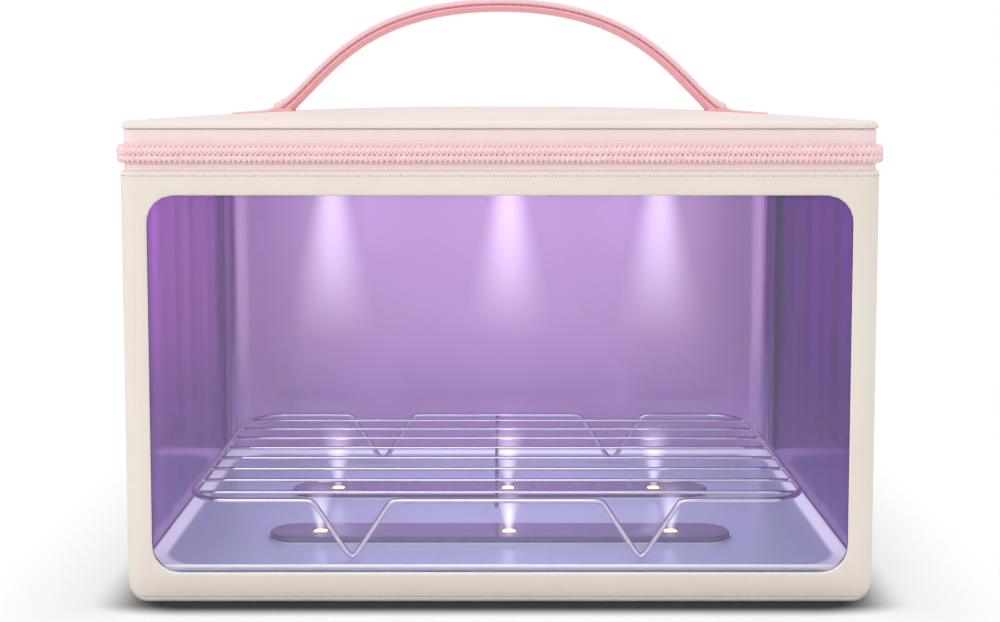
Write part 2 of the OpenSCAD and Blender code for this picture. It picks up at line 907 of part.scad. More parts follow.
// Levels of the lid's rolled edge, down to a height
function roll_levels(less, low) =
  let (edge = lid_edge(less))
  [
    for (step = [[0.5, 0.4], [0, 1]])
      level_points(edge[0] - step[0] * lid_roll, edge[1] - step[0] * lid_roll, edge[2],
                   edge[3] - step[1] * lid_roll),
    level_points(edge[0], edge[1], edge[2], low)
  ];

// Closed shape through a list of levels, each one a ring of as many points
module level_stack(levels) {
  count = len(levels[0]);
  last = len(levels) - 1;
  polyhedron(
    points = [for (level = levels) each level],
    faces = concat(
      [[for (i = [count - 1:-1:0]) i]],
      [[for (i = [0:count - 1]) last * count + i]],
      [
        for (k = [0:last - 1], i = [0:count - 1])
          [k * count + i, k * count + (i + 1) % count, (k + 1) * count + i]
      ],
      [
        for (k = [0:last - 1], i = [0:count - 1])
          [k * count + (i + 1) % count, (k + 1) * count + (i + 1) % count, (k + 1) * count + i]
      ]
    )
  );
}

// A list in reverse order
function reversed(list) = [for (i = [len(list) - 1:-1:0]) list[i]];

// Leather cover of the lid, a padded crown with a rolled edge
module lid_top() {
  outer = concat(crown_levels(0), roll_levels(0, lid_low));
  inner = concat(crown_levels(skin_t), roll_levels(skin_t, lid_low));
  color("#efe0de") level_stack(concat(outer, reversed(inner)));
}

// Foam that gives the lid its crown
module lid_foam() {
  less = skin_t + lay_gap / 4;
  edge = lid_edge(less);
  base = level_points(edge[0] - 2 * lid_roll, edge[1] - 2 * lid_roll, edge[2],
                      lid_board_z + lid_board_t);
  color("#f2f0ea") level_stack(concat(crown_levels(less), [base]));
}

// Stiff board of the lid, with a groove for the lead and a pocket for the magnet
module lid_board() {
  color("#b9a68c")
    difference() {
      inset_slab(backing_in + lid_roll / 2, lid_board_z, lid_board_z + lid_board_t);
      translate([lead_x - groove_w / 2, inner_mid - 2, lid_board_z - past])
        cube([groove_w, lead_y - inner_mid + 4, wire_t + past]);
      translate([sensor_x, lead_y + magnet_y, lid_board_z - past])
        cylinder(h = magnet_t + 0.1 + past, d = magnet_d + 2 * lay_gap);
    }
}

// Stiff band round the lid, behind the upper tape
module lid_band() {
  color("#b9a68c")
    difference() {
      inset_slab(backing_in, part_z + slider_room, lid_board_z);
      inset_slab(board_in, part_z + slider_room - past, lid_board_z + past);
    }
}

// Glossy lining of the lid
module lid_liner() {
  slot = [wire_w + 2 * move_gap, lead_t + 0.8, 3 * liner_t];
  color("#a98bc9")
    difference() {
      inset_slab(board_in + lay_gap, lid_liner_z, lid_board_z);
      for (y = [inner_mid, lead_y])
        translate([lead_x, y, lid_liner_z]) cube(slot, center = true);
    }
}

// Upper zipper tape, which makes the lid's side
module upper_zip_tape() {
  low = part_z + part_gap / 2;
  color("#eed2d5")
    wrap(body_w, body_d, corner_r, hinge_w)
      translate([-backing_in, low]) square([backing_t, lid_low - lay_gap / 2 - low]);
}

// Upper half of the zipper's coil
module upper_zip_coil() {
  color("#f0b9c1")
    translate([0, 0, part_z + part_gap / 2])
      wrap(body_w, body_d, corner_r, hinge_w) coil_section();
}

// Upper half of the hinge strip
module hinge_upper() {
  low = part_z + part_gap;
  color("#eed2d5")
    translate([0, body_d / 2, 0])
      rotate([90, 0, 90])
        linear_extrude(hinge_w - 2 * lay_gap, center = true)
          translate([-backing_in, low])
            square([backing_in - lid_inset, lid_low - lay_gap - low]);
}

// Turns a bar part over and hangs it under the lid's lining
module under_lid() {
  translate([0, inner_mid, lid_liner_z]) mirror([0, 0, 1]) children();
}

// Light bar under the lid
module lid_led_bar() {
  under_lid() led_bar();
}

// Circuit board of the lid's bar
module lid_led_board() {
  under_lid() led_board();
}

// Chips of the lid's bar
module lid_leds() {
  under_lid() leds();
}

// Magnet that tells the sensor that the lid is shut
module lid_magnet() {
  color("#8e9094")
    translate([sensor_x, lead_y + magnet_y, lid_board_z]) cylinder(h = magnet_t, d = magnet_d);
}

// Lead from the hinge along the lid's board to the lid's bar
module lid_lead() {
  half = wire_w / 2;
  end = lead_t / 2;
  low = lid_board_z + 0.05;
  high = low + lead_t;
  color("#3b3b44") {
    lead([lead_x - half, lead_y - end, part_z + part_gap], [lead_x + half, lead_y + end, high]);
    lead([lead_x - half, inner_mid - end, low], [lead_x + half, lead_y + end, high]);
    lead([lead_x - half, inner_mid - end, lid_liner_z], [lead_x + half, inner_mid + end, high]);
  }
}

// Flat ends of the handle, sewn to the lid
module handle_feet() {
  color("#ebadb4")
    for (side = [0, 1])
      mirror([side, 0, 0])
        translate([handle_x, 0, root_z + lay_gap])
          rotate([0, root_slope, 0])
            translate([foot_l / 2 - foot_in, 0, 0])
              linear_extrude(foot_t) rounded_rect(foot_l, strap_w + 2, 3);
}

// Point of a curve that leaves one end towards a first guide point and reaches the other end
// from a second one, for t from 0 to 1
function curve_point(ends, guides, t) =
  pow(1 - t, 3) * ends[0] + 3 * t * pow(1 - t, 2) * guides[0]
  + 3 * t * t * (1 - t) * guides[1] + pow(t, 3) * ends[1];

// The same curve, moved sideways by a distance
function side_point(ends, guides, t, shift) =
  let (run = pow(1 - t, 2) * (guides[0] - ends[0]) + 2 * t * (1 - t) * (guides[1] - guides[0])
             + t * t * (ends[1] - guides[1]))
  curve_point(ends, guides, t) + shift * [run.y, -run.x] / norm(run);

// One side of the handle's arch, seen from the front, from the right root to the left one
function arch_side(shift) =
  let (ends = [[handle_x, root_z], [0, handle_top]])
  let (guides = [[handle_x - root_lean, root_z + root_lift], [handle_x - shoulder_in, handle_top]])
  let (half = [for (i = [0:arch_steps]) side_point(ends, guides, i / arch_steps, shift)])
  concat(half, [for (i = [arch_steps - 1:-1:0]) [-half[i].x, half[i].y]]);

// Arch of the handle, with round ends about its hinge line
module handle_strap() {
  reach = handle_x + 2 * foot_l;
  color("#ebadb4")
    intersection() {
      rotate([90, 0, 0])
        linear_extrude(strap_w, center = true)
          polygon(concat(arch_side(strap_t / 2), reversed(arch_side(-strap_t / 2))));
      union() {
        translate([-reach, -strap_w / 2, pivot_z]) cube([2 * reach, strap_w, 2 * handle_rise]);
        translate([-reach, 0, pivot_z]) rotate([0, 90, 0]) cylinder(h = 2 * reach, d = strap_w);
      }
    }
}

// A straight wire between two points
module rod(from, to, d) {
  run = to - from;
  translate(from)
    rotate([0, acos(run.z / norm(run)), atan2(run.y, run.x)]) cylinder(h = norm(run), d = d);
}

// Moves a part of the rack to its place in the case
module on_rack() {
  translate([-rack_shift, rack_mid, 0]) children();
}

// Frame of the rack: one bent wire whose front and back runs dip into two legs each
module rack_frame() {
  a = rack_w / 2;
  b = rack_d / 2;
  color("#c9c3d8")
    on_rack() {
      for (sx = [-1, 1])
        rod([sx * a, -b + rack_r, rack_z], [sx * a, b - rack_r, rack_z], wire_d);
      for (turn = [0, 90, 180, 270]) {
        sx = turn == 0 || turn == 270 ? 1 : -1;
        sy = turn < 180 ? 1 : -1;
        translate([sx * (a - rack_r), sy * (b - rack_r), rack_z])
          rotate(turn) rotate_extrude(angle = 90) translate([rack_r, 0]) circle(d = wire_d);
      }
      for (sy = [-1, 1]) {
        y = sy * b;
        rod([leg_half - leg_x, y, rack_z], [leg_x - leg_half, y, rack_z], wire_d);
        for (sx = [-1, 1]) {
          rod([sx * (leg_x + leg_half), y, rack_z], [sx * (a - rack_r), y, rack_z], wire_d);
          for (side = [-1, 1]) {
            top = [sx * leg_x + side * leg_half, y, rack_z];
            rod(top, [sx * leg_x, y, leg_z], wire_d);
            translate(top) sphere(d = wire_d);
          }
          translate([sx * leg_x, y, leg_z]) sphere(d = wire_d);
        }
      }
    }
}

// Half length of a cross wire at a distance from the rack's middle, to the frame's inner side
function cross_half(y) =
  let (past = abs(y) - (rack_d / 2 - rack_r))
  let (bend = past > 0 ? rack_r - sqrt(pow(rack_r, 2) - pow(past, 2)) : 0)
  rack_w / 2 - bend - wire_d / 2;

// Cross wires, welded between the frame's sides
module rack_cross_wires() {
  color("#c9c3d8")
    on_rack()
      for (i = [0:cross_count - 1]) {
        y = (i - (cross_count - 1) / 2) * cross_pitch;
        half = cross_half(abs(y) + cross_d / 2);
        rod([-half, y, rack_z], [half, y, rack_z], cross_d);
      }
}

// Wire under the middle of the cross wires, from the front run to the back run
module rack_centre_wire() {
  half = rack_d / 2 + wire_d / 2;
  z = rack_z - (wire_d + cross_d) / 2;
  color("#c9c3d8") on_rack() rod([0, -half, z], [0, half, z], cross_d);
}

// A plate that faces outwards from the right wall, about the middle of the chain
module wall_plate(low, high, length, height, r) {
  translate([low, 0, 0])
    rotate([90, 0, 90]) linear_extrude(high - low) rounded_rect(length, height, r);
}

// Puts a slider or its pull on the right wall; toward is 1 for the rear one, -1 for the front
module on_chain(toward) {
  translate([body_w / 2, slider_meet + toward * (slider_l / 2 + move_gap), part_z]) children();
}

// Slider: an outer and an inner plate joined through the parting gap, with a lip under the
// lower coil and a bridge that holds the pull
module slider(toward) {
  inner_face = -backing_in - move_gap;
  inner_t = 1;
  web_h = part_gap - 2 * move_gap;
  web_l = slider_l * 0.6;
  lip_h = slider_w / 2 - part_gap / 2 - 2 * coil_r - move_gap;
  ear_mid = eye_r + move_gap + ear_t / 2;
  ear_reach = pin_x - slider_out + 0.1;
  color("#f0b9c1")
    on_chain(toward) {
      wall_plate(slider_in, slider_out, slider_l, slider_w, 2.5);
      wall_plate(inner_face - inner_t, inner_face, slider_l - 1, 2 * (slider_room - 0.4), 1.5);
      translate([inner_face - 0.1, -web_l / 2, -web_h / 2])
        cube([slider_in - inner_face + 0.2, web_l, web_h]);
      translate([0.2, -bridge_w / 2, -slider_w / 2]) cube([slider_in - 0.1, bridge_w, lip_h]);
      for (s = [-1, 1])
        translate([slider_out - 0.1, s * ear_mid, 0])
          rotate([90, 0, 0])
            linear_extrude(ear_t, center = true) {
              translate([0, -ear_r]) square([ear_reach, 2 * ear_r]);
              translate([ear_reach, 0]) circle(r = ear_r);
            }
      translate([pin_x, 0, 0])
        rotate([90, 0, 0]) cylinder(h = 2 * ear_mid, r = pin_r, center = true);
    }
}

// Pull tab, hanging from the slider's bridge by a round eye
module pull(toward) {
  neck = eye_r + 2.4;
  slot_w = 2.8;
  slot_h = 5;
  slot_low = 3;
  color("#f0b9c1")
    on_chain(toward)
      translate([pin_x, 0, 0])
        difference() {
          union() {
            rotate([90, 0, 0]) cylinder(h = 2 * eye_r, r = eye_r, center = true);
            translate([-pull_t / 2, -eye_r, -neck - 1]) cube([pull_t, 2 * eye_r, neck + 1]);
            translate([0, 0, -(pull_l + neck) / 2])
              wall_plate(-pull_t / 2, pull_t / 2, pull_w, pull_l - neck, 2.4);
          }
          rotate([90, 0, 0]) cylinder(h = 3 * eye_r, r = pin_r + move_gap, center = true);
          translate([0, 0, slot_low + slot_h / 2 - pull_l])
            wall_plate(-pull_t, pull_t, slot_w, slot_h, slot_w / 2 - 0.05);
        }
}

// Slider that opens towards the front
module front_slider() {
  slider(-1);
}

// Slider that opens towards the back
module rear_slider() {
  slider(1);
}

// Pull of the front slider
module front_pull() {
  pull(-1);
}

// Pull of the rear slider
module rear_pull() {
  pull(1);
}

// Round push button with a flange that keeps it behind the plate
module power_button() {
  outer = plate_face + button_travel;
  stem = outer - plate_inside + move_gap;
  color("#fbfaf7")
    translate([button_x, outer, plate_z])
      rotate([90, 0, 0]) {
        cylinder(h = stem + 0.1, d = button_d);
        translate([0, 0, stem]) cylinder(h = button_flange, d = button_d + 2 * button_lip);
      }
}

base_panel();
base_board();
base_foam();
leather_wrap();
backing_foam();
window_pane();
front_board();
left_board();
right_board();
back_board();
bay_board();
wall_liner();
floor_tray();
front_led_bar();
rear_led_bar();
front_led_board();
rear_led_board();
front_leds();
rear_leds();
battery_pack();
driver_board();
driver_parts();
tact_switch();
usb_socket();
control_plate();
status_lens();
board_screws();
lid_sensor();
wiring_harness();
lower_zip_tape();
lower_zip_coil();
hinge_lower();
lid_top();
lid_foam();
lid_board();
lid_band();
lid_liner();
upper_zip_tape();
upper_zip_coil();
hinge_upper();
lid_led_bar();
lid_led_board();
lid_leds();
lid_magnet();
lid_lead();
handle_feet();
handle_strap();
rack_frame();
rack_cross_wires();
rack_centre_wire();
front_slider();
rear_slider();
front_pull();
rear_pull();
power_button();
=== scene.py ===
import math

import bmesh
import bpy
import numpy as np
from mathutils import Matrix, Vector


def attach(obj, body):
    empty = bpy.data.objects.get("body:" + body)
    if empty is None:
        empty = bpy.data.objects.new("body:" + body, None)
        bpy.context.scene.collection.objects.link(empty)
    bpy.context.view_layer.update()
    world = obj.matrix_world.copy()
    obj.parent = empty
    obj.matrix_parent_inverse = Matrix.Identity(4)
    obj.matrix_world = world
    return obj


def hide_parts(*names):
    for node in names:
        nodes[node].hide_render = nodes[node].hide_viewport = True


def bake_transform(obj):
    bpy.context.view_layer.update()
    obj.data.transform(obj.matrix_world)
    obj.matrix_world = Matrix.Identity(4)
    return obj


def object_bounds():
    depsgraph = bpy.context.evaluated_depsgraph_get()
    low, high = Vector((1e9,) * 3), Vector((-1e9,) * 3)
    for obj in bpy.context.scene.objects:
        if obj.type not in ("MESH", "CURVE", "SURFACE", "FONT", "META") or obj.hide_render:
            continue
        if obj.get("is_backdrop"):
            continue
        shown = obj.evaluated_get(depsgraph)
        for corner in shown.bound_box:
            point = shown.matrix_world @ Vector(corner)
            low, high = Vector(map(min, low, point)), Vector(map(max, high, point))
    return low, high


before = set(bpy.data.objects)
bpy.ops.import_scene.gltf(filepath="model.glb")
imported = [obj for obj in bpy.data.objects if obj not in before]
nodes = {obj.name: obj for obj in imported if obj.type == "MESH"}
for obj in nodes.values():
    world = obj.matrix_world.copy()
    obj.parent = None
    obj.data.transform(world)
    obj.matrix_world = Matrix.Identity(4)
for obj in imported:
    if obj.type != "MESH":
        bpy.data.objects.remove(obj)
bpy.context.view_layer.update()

# The view. The eye is level with the lid, half a metre in front of the window, and looks down
# by four degrees. The picture is shifted, which keeps the walls nearly upright in it.
camera_data = bpy.data.cameras.new("camera")
camera_data.sensor_width = 36
camera_data.lens = 52.07
camera_data.shift_y = -0.11
camera = bpy.data.objects.new("camera", camera_data)
camera.location = (0, -0.6044, 0.1814)
camera.rotation_euler = (math.radians(90 - 4.16), 0, 0)
bpy.context.scene.collection.objects.link(camera)
bpy.context.scene.camera = camera
bpy.context.scene.view_settings.view_transform = "Standard"


# The studio: a white table that runs out of sight, white surroundings, and soft boxes above
# and in front. Near the case a soft shadow is painted on the table.
def linear(code):
    """Linear RGBA of an sRGB hex code: c / 12.92 up to 0.04045, else ((c + 0.055) / 1.055)^2.4."""
    c = np.array([int(code[k:k + 2], 16) for k in (1, 3, 5)]) / 255
    return (*np.where(c <= 0.04045, c / 12.92, ((c + 0.055) / 1.055) ** 2.4).tolist(), 1.0)


def add(tree, kind, sockets=None, **settings):
    """Adds a node with its settings; each socket gets a number, a colour or another node's output."""
    made = tree.nodes.new(kind)
    for name, value in settings.items():
        setattr(made, name, value)
    for socket, value in (sockets or {}).items():
        if isinstance(value, bpy.types.NodeSocket):
            tree.links.new(value, made.inputs[socket])
        else:
            made.inputs[socket].default_value = value
    return made


def finish(name, colour, roughness, **sockets):
    """A material with one Principled shader, as material, node tree and shader."""
    made = bpy.data.materials.new(name)
    made.use_nodes = True
    tree = made.node_tree
    tree.nodes.clear()
    shader = add(tree, "ShaderNodeBsdfPrincipled", {"Base Color": linear(colour), "Roughness": roughness})
    for socket, value in sockets.items():
        shader.inputs[socket.replace("_", " ").title().replace("Ior", "IOR")].default_value = value
    add(tree, "ShaderNodeOutputMaterial", {"Surface": shader.outputs[0]})
    return made, tree, shader


def surface(name, grids, uvs=None):
    """A mesh over grids of points g[i, j], quads between neighbours; seams and poles are merged."""
    corners, faces, spots, first = [], [], [], 0
    for k, grid in enumerate(grids):
        rows, cols = grid.shape[:2]
        index = np.arange(rows * cols).reshape(rows, cols) + first
        quads = np.stack([index[:-1, :-1], index[:-1, 1:], index[1:, 1:], index[1:, :-1]], -1)
        corners.append(grid.reshape(-1, 3))
        faces.append(quads.reshape(-1, 4))
        spots.append((uvs[k] if uvs else np.zeros((rows, cols, 2))).reshape(-1, 2))
        first += rows * cols
    corners, faces, spots = np.concatenate(corners), np.concatenate(faces), np.concatenate(spots)
    mesh = bpy.data.meshes.new(name)
    mesh.from_pydata(corners.tolist(), [], faces.tolist())
    if uvs:
        mesh.uv_layers.new(name="UVMap").data.foreach_set("uv", spots[faces.ravel()].ravel())
    work = bmesh.new()
    work.from_mesh(mesh)
    bmesh.ops.remove_doubles(work, verts=work.verts, dist=1e-6)
    bmesh.ops.dissolve_degenerate(work, edges=work.edges, dist=1e-7)
    work.to_mesh(mesh)
    work.free()
    mesh.polygons.foreach_set("use_smooth", np.ones(len(mesh.polygons), bool))
    piece = bpy.data.objects.new(name, mesh)
    bpy.context.scene.collection.objects.link(piece)
    return piece


# Matt white laminate: it has no shine, and the shade under the case is a painted shadow
floor_x, floor_y = np.meshgrid([-4.0, 4.0], [-3.0, 6.0])
studio_floor = surface("studio_floor", [np.stack([floor_x, floor_y, 0 * floor_x - 0.0001], -1)])
floor_paint, floor_tree, floor_shader = finish("white_table", "#e9e8e6", 0.9)
floor_spot = add(floor_tree, "ShaderNodeTexCoord").outputs["Object"]
floor_abs = add(floor_tree, "ShaderNodeVectorMath", {0: floor_spot}, operation="ABSOLUTE")


def beyond(tree, spot, half, squeeze):
    """Distance outside a rectangle about the origin: |max(|p| - half, 0) * squeeze|."""
    off = add(tree, "ShaderNodeVectorMath", {0: spot, 1: half}, operation="SUBTRACT")
    outside = add(tree, "ShaderNodeVectorMath", {0: off.outputs[0], 1: (0.0, 0.0, 0.0)}, operation="MAXIMUM")
    scaled = add(tree, "ShaderNodeVectorMath", {0: outside.outputs[0], 1: squeeze}, operation="MULTIPLY")
    return add(tree, "ShaderNodeVectorMath", {0: scaled.outputs[0]}, operation="LENGTH").outputs["Value"]


# The painted shadow is full up to 4 mm from the case and gone at 15 mm. Beyond 75 mm the camera
# sees plain white, and nearer in a part of the real light on the table.
floor_far = beyond(floor_tree, floor_abs.outputs[0], (0.122, 0.092, 0.0), (1.0, 1.0, 0.0))
floor_share = add(floor_tree, "ShaderNodeMapRange", {0: floor_far, 1: 0.010, 2: 0.075, 3: 0.45, 4: 1.0},
                  interpolation_type="SMOOTHSTEP")
floor_near = beyond(floor_tree, floor_abs.outputs[0], (0.112, 0.0975, 0.0), (0.4, 1.0, 0.0))
floor_shade = add(floor_tree, "ShaderNodeMapRange", {0: floor_near, 1: 0.004, 2: 0.015, 3: 0.04, 4: 1.0},
                  interpolation_type="SMOOTHSTEP")
floor_white = add(floor_tree, "ShaderNodeEmission", {"Color": linear("#ffffff"),
                                                     "Strength": floor_shade.outputs[0]})
floor_tone = add(floor_tree, "ShaderNodeMix", {0: floor_shade.outputs[0], 6: linear("#000000"),
                                              7: linear("#dddcda")}, data_type="RGBA")
floor_tree.links.new(floor_tone.outputs[2], floor_shader.inputs["Base Color"])
floor_eye = add(floor_tree, "ShaderNodeLightPath")
floor_seen = add(floor_tree, "ShaderNodeMath",
                 {0: floor_share.outputs[0], 1: floor_eye.outputs["Is Camera Ray"]}, operation="MULTIPLY")
floor_mix = add(floor_tree, "ShaderNodeMixShader",
                {0: floor_seen.outputs[0], 1: floor_shader.outputs[0], 2: floor_white.outputs[0]})
floor_out = next(n for n in floor_tree.nodes if n.bl_idname == "ShaderNodeOutputMaterial")
floor_tree.links.new(floor_mix.outputs[0], floor_out.inputs["Surface"])
studio_floor.data.materials.append(floor_paint)
studio_floor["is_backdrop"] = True

world = bpy.data.worlds.new("surroundings")
bpy.context.scene.world = world
world.use_nodes = True
world.node_tree.nodes.clear()
glow = add(world.node_tree, "ShaderNodeBackground", {"Color": linear("#ffffff"), "Strength": 1.0})
dim = add(world.node_tree, "ShaderNodeBackground", {"Color": linear("#fbfaf8"), "Strength": 0.72})
seen = add(world.node_tree, "ShaderNodeLightPath")
both = add(world.node_tree, "ShaderNodeMixShader",
           {0: seen.outputs["Is Camera Ray"], 1: dim.outputs[0], 2: glow.outputs[0]})
add(world.node_tree, "ShaderNodeOutputWorld", {"Surface": both.outputs[0]})


def soft_box(name, place, aim, size, power, colour="#ffffff", body=None, hidden=False):
    """A rectangular light at a place, turned to face a point."""
    data = bpy.data.lights.new(name, "AREA")
    data.shape = "RECTANGLE"
    data.size, data.size_y = size
    data.energy = power
    data.color = linear(colour)[:3]
    lamp = bpy.data.objects.new(name, data)
    lamp.location = place
    lamp.rotation_euler = (Vector(aim) - Vector(place)).to_track_quat("-Z", "Y").to_euler()
    bpy.context.scene.collection.objects.link(lamp)
    lamp.visible_camera = False
    lamp.visible_glossy = not hidden
    if body:
        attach(lamp, body)
    return lamp


soft_box("key_box", (-0.4, -1.1, 0.85), (0, 0, 0.1), (1.3, 0.8), 6)
box_spots = {"left_box": (-1.5, 0.1, 0.7), "right_box": (1.5, 0.1, 0.7), "back_box": (0.0, 1.5, 0.7)}
for name, spot in box_spots.items():
    soft_box(name, spot, (0, 0, 0.1), (1.0, 0.8), 4, hidden=True)
soft_box("top_box", (0.3, 0.3, 1.5), (0, 0, 0.15), (1.4, 1.4), 4.8)


# The leather body. Synthetic leather, coated fabric with a fine pebbled grain, is wrapped once
# round the box. Its edge is turned in round the window and along the zipper, and its lower
# edge runs under the box in a soft bend, where the base sheet meets it.
body_w, body_d, corner_r = 0.270, 0.194, 0.008
bottom_r, rim_z, leather_top, leather_t = 0.007, 0.002, 0.155, 0.0005
window_w, window_h, window_z, window_r = 0.2492, 0.1355, 0.07865, 0.0095


def outline(w, d, r, side=24, corner=9):
    """Rounded rectangle from the back's middle, anticlockwise: points, outward normals, length."""
    turn = np.linspace(0, math.pi / 2, corner)
    heading, spots = [], []
    for k, (sx, sy) in enumerate([(-1, 1), (-1, -1), (1, -1), (1, 1)]):
        angle = turn + math.pi / 2 * (k + 1)
        centre = np.array([sx * (w / 2 - r), sy * (d / 2 - r)])
        heading.append(angle)
        spots.append(centre + r * np.stack([np.cos(angle), np.sin(angle)], -1))
    half = np.linspace(0, 1, side // 2, endpoint=False)[1:]
    full = np.linspace(0, 1, side + 1)[1:-1]
    start = np.array([[0, d / 2]])
    points, angles = [start], [np.array([math.pi / 2])]
    for k in range(5):
        fractions = half if k in (0, 4) else full
        a = start[0] if k == 0 else spots[k - 1][-1]
        b = start[0] if k == 4 else spots[k][0]
        points.append(a + fractions[:, None] * (b - a))
        angles.append(np.full(len(fractions), math.pi / 2 * (k + 1)))
        if k < 4:
            points.append(spots[k])
            angles.append(heading[k])
    points.append(start)
    angles.append(np.array([math.pi * 2.5]))
    points, angles = np.concatenate(points), np.concatenate(angles)
    normals = np.stack([np.cos(angles), np.sin(angles)], -1)
    steps = np.linalg.norm(np.diff(points, axis=0), axis=1)
    return points, normals, np.concatenate([[0], np.cumsum(steps)])


def carry(profile, path, shift=(0, 0)):
    """Carries a profile of (outwards, height) along an outline: point + outwards * normal, height."""
    points, normals, length = path
    profile = np.asarray(profile, float)
    flat = points[None] + profile[:, 0, None, None] * normals[None] + np.array(shift)
    height = np.broadcast_to(profile[:, 1, None, None], (*flat.shape[:2], 1))
    run = np.concatenate([[0], np.cumsum(np.linalg.norm(np.diff(profile, axis=0), axis=1))])
    uv = np.stack(np.broadcast_arrays(length[None, :], run[:, None]), -1)
    return np.concatenate([flat, height], -1), uv


def arc(centre, r, start, end, count):
    """Points (outwards, height) on an arc from one angle to another, in degrees."""
    angle = np.radians(np.linspace(start, end, count))
    return np.stack([centre[0] + r * np.cos(angle), centre[1] + r * np.sin(angle)], -1)


def to_window(points, w, h, r):
    """Pulls points towards the window's middle onto its rounded outline, by halving the way."""
    near, far = np.zeros(len(points)), np.ones(len(points))
    for _ in range(40):
        middle = (near + far) / 2
        q = np.abs(points * middle[:, None]) - np.array([w / 2 - r, h / 2 - r])
        distance = np.linalg.norm(np.maximum(q, 0), axis=1) + np.minimum(q.max(axis=1), 0) - r
        near, far = np.where(distance < 0, middle, near), np.where(distance < 0, far, middle)
    on = points * near[:, None]
    q = np.abs(on) - np.array([w / 2 - r, h / 2 - r])
    away = np.where((q > 0).all(axis=1)[:, None], np.maximum(q, 0), (q == q.max(axis=1)[:, None]) * 1.0)
    away = away / np.linalg.norm(away, axis=1)[:, None] * np.sign(on)
    return on, away


edge_roll, front_bend = 0.0007, 0.0012
wall_path = outline(body_w, body_d, corner_r, side=60, corner=11)
bend = front_bend + (bottom_r - front_bend) * np.abs(wall_path[1][:, 0]) ** 1.5


def bent_in(z):
    """How far in the lower edge has bent at a height: r - sqrt(r^2 - max(r - z, 0)^2)."""
    return bend - np.sqrt(np.maximum(bend ** 2 - np.maximum(bend - z[:, None], 0) ** 2, 0))


wall_heights = np.concatenate([
    rim_z + (bottom_r - rim_z) * np.linspace(0, 1, 9, endpoint=False) ** 1.5 + 0.0001,
    np.linspace(bottom_r, leather_top - 0.002, 46), [leather_top - 0.0012],
])
wall_profile = np.concatenate([
    np.stack([0 * wall_heights, wall_heights], -1),
    arc((-edge_roll, leather_top - edge_roll), edge_roll, 0, 150, 7),
])
wall_grid, _ = carry(wall_profile, wall_path)
bends = bent_in(wall_heights)
wall_grid[:len(wall_heights), :, :2] -= bends[..., None] * wall_path[1][None]
# The front between these rows gives way to rings that run from its edge to the window's lip
low_row, high_row = 9, len(wall_heights) - 1
flat_front = np.flatnonzero((wall_path[1][:, 1] < -0.9999))
left_col, right_col = flat_front[0], flat_front[-1]
loop = np.concatenate([
    wall_grid[low_row, left_col:right_col], wall_grid[low_row:high_row, right_col],
    wall_grid[high_row, right_col:left_col:-1], wall_grid[high_row:low_row:-1, left_col],
])
loop = np.concatenate([loop, loop[:1]])
rim, away = to_window(loop[:, [0, 2]] - np.array([0, window_z]), window_w, window_h, window_r)
lip_turn = [(0.0011, 0.0012), (0.0005, 0.0012), (0.0001, 0.0009), (0, 0.0005), (0.0002, 0.0002), (0.0007, 0)]
lip_rows = [np.stack([(rim + out * away)[:, 0], loop[:, 1] + back, (rim + out * away)[:, 1] + window_z], -1)
            for out, back in lip_turn]
blend_rows = [lip_rows[-1] + t * (loop - lip_rows[-1]) for t in (0.25, 0.5, 0.75, 1)]
window_ring = np.stack(lip_rows + blend_rows, 1)
# The cut-out behind the control plate: the seven columns each side of the back's middle
sill, head = (int(np.abs(wall_heights - z).argmin()) for z in (0.0262, 0.0460))
left, right, hole = wall_grid[:, :left_col + 1], wall_grid[:, right_col:], 7
parts = [wall_grid[:low_row + 1], wall_grid[high_row:],
         left[low_row:sill + 1], left[sill:head + 1, hole:], left[head:high_row + 1],
         right[low_row:sill + 1], right[sill:head + 1, :-hole], right[head:high_row + 1], window_ring]
leather_body = surface("leather_body", parts)


def leather(name, colour, low_colour):
    """Pebbled coated leather: grain cells of 0.7 mm, faint clouds and a thin coat, so it looks silky."""
    made, tree, shader = finish(name, colour, 0.42, coat_weight=0.12, coat_roughness=0.35)
    spot = add(tree, "ShaderNodeTexCoord").outputs["Object"]
    cells = add(tree, "ShaderNodeTexVoronoi", {"Vector": spot, "Scale": 1400.0, "Randomness": 0.9},
                feature="F1")
    cloud = add(tree, "ShaderNodeTexNoise", {"Vector": spot, "Scale": 28.0, "Detail": 3.0})
    fine = add(tree, "ShaderNodeTexNoise", {"Vector": spot, "Scale": 900.0, "Detail": 2.0})
    tone = add(tree, "ShaderNodeMix", {0: cloud.outputs["Fac"], 6: linear(low_colour), 7: linear(colour)},
               data_type="RGBA")
    tree.links.new(tone.outputs[2], shader.inputs["Base Color"])
    height = add(tree, "ShaderNodeMath", {0: cells.outputs["Distance"], 1: fine.outputs["Fac"]},
                 operation="ADD")
    bump = add(tree, "ShaderNodeBump", {"Height": height.outputs[0], "Strength": 0.35, "Distance": 0.00009})
    tree.links.new(bump.outputs[0], shader.inputs["Normal"])
    return made


def thicken(piece, depth, offset=-1.0):
    """Gives a sheet its real thickness, inwards unless another offset is given."""
    solid = piece.modifiers.new("thickness", "SOLIDIFY")
    solid.thickness = depth
    solid.offset = offset
    return piece


def place(piece, material, body, slot, *stands_for):
    """A piece's material, the body that carries it, its slot, which is not used, and the nodes it stands for.
    """
    piece.data.materials.clear()
    piece.data.materials.append(material)
    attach(piece, body)
    if stands_for:
        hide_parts(*stands_for)
    return piece


cream = leather("cream_leather", "#ece5dc", "#e6dcd3")
place(thicken(leather_body, leather_t), cream, "case", "leather_cream", "leather_wrap")


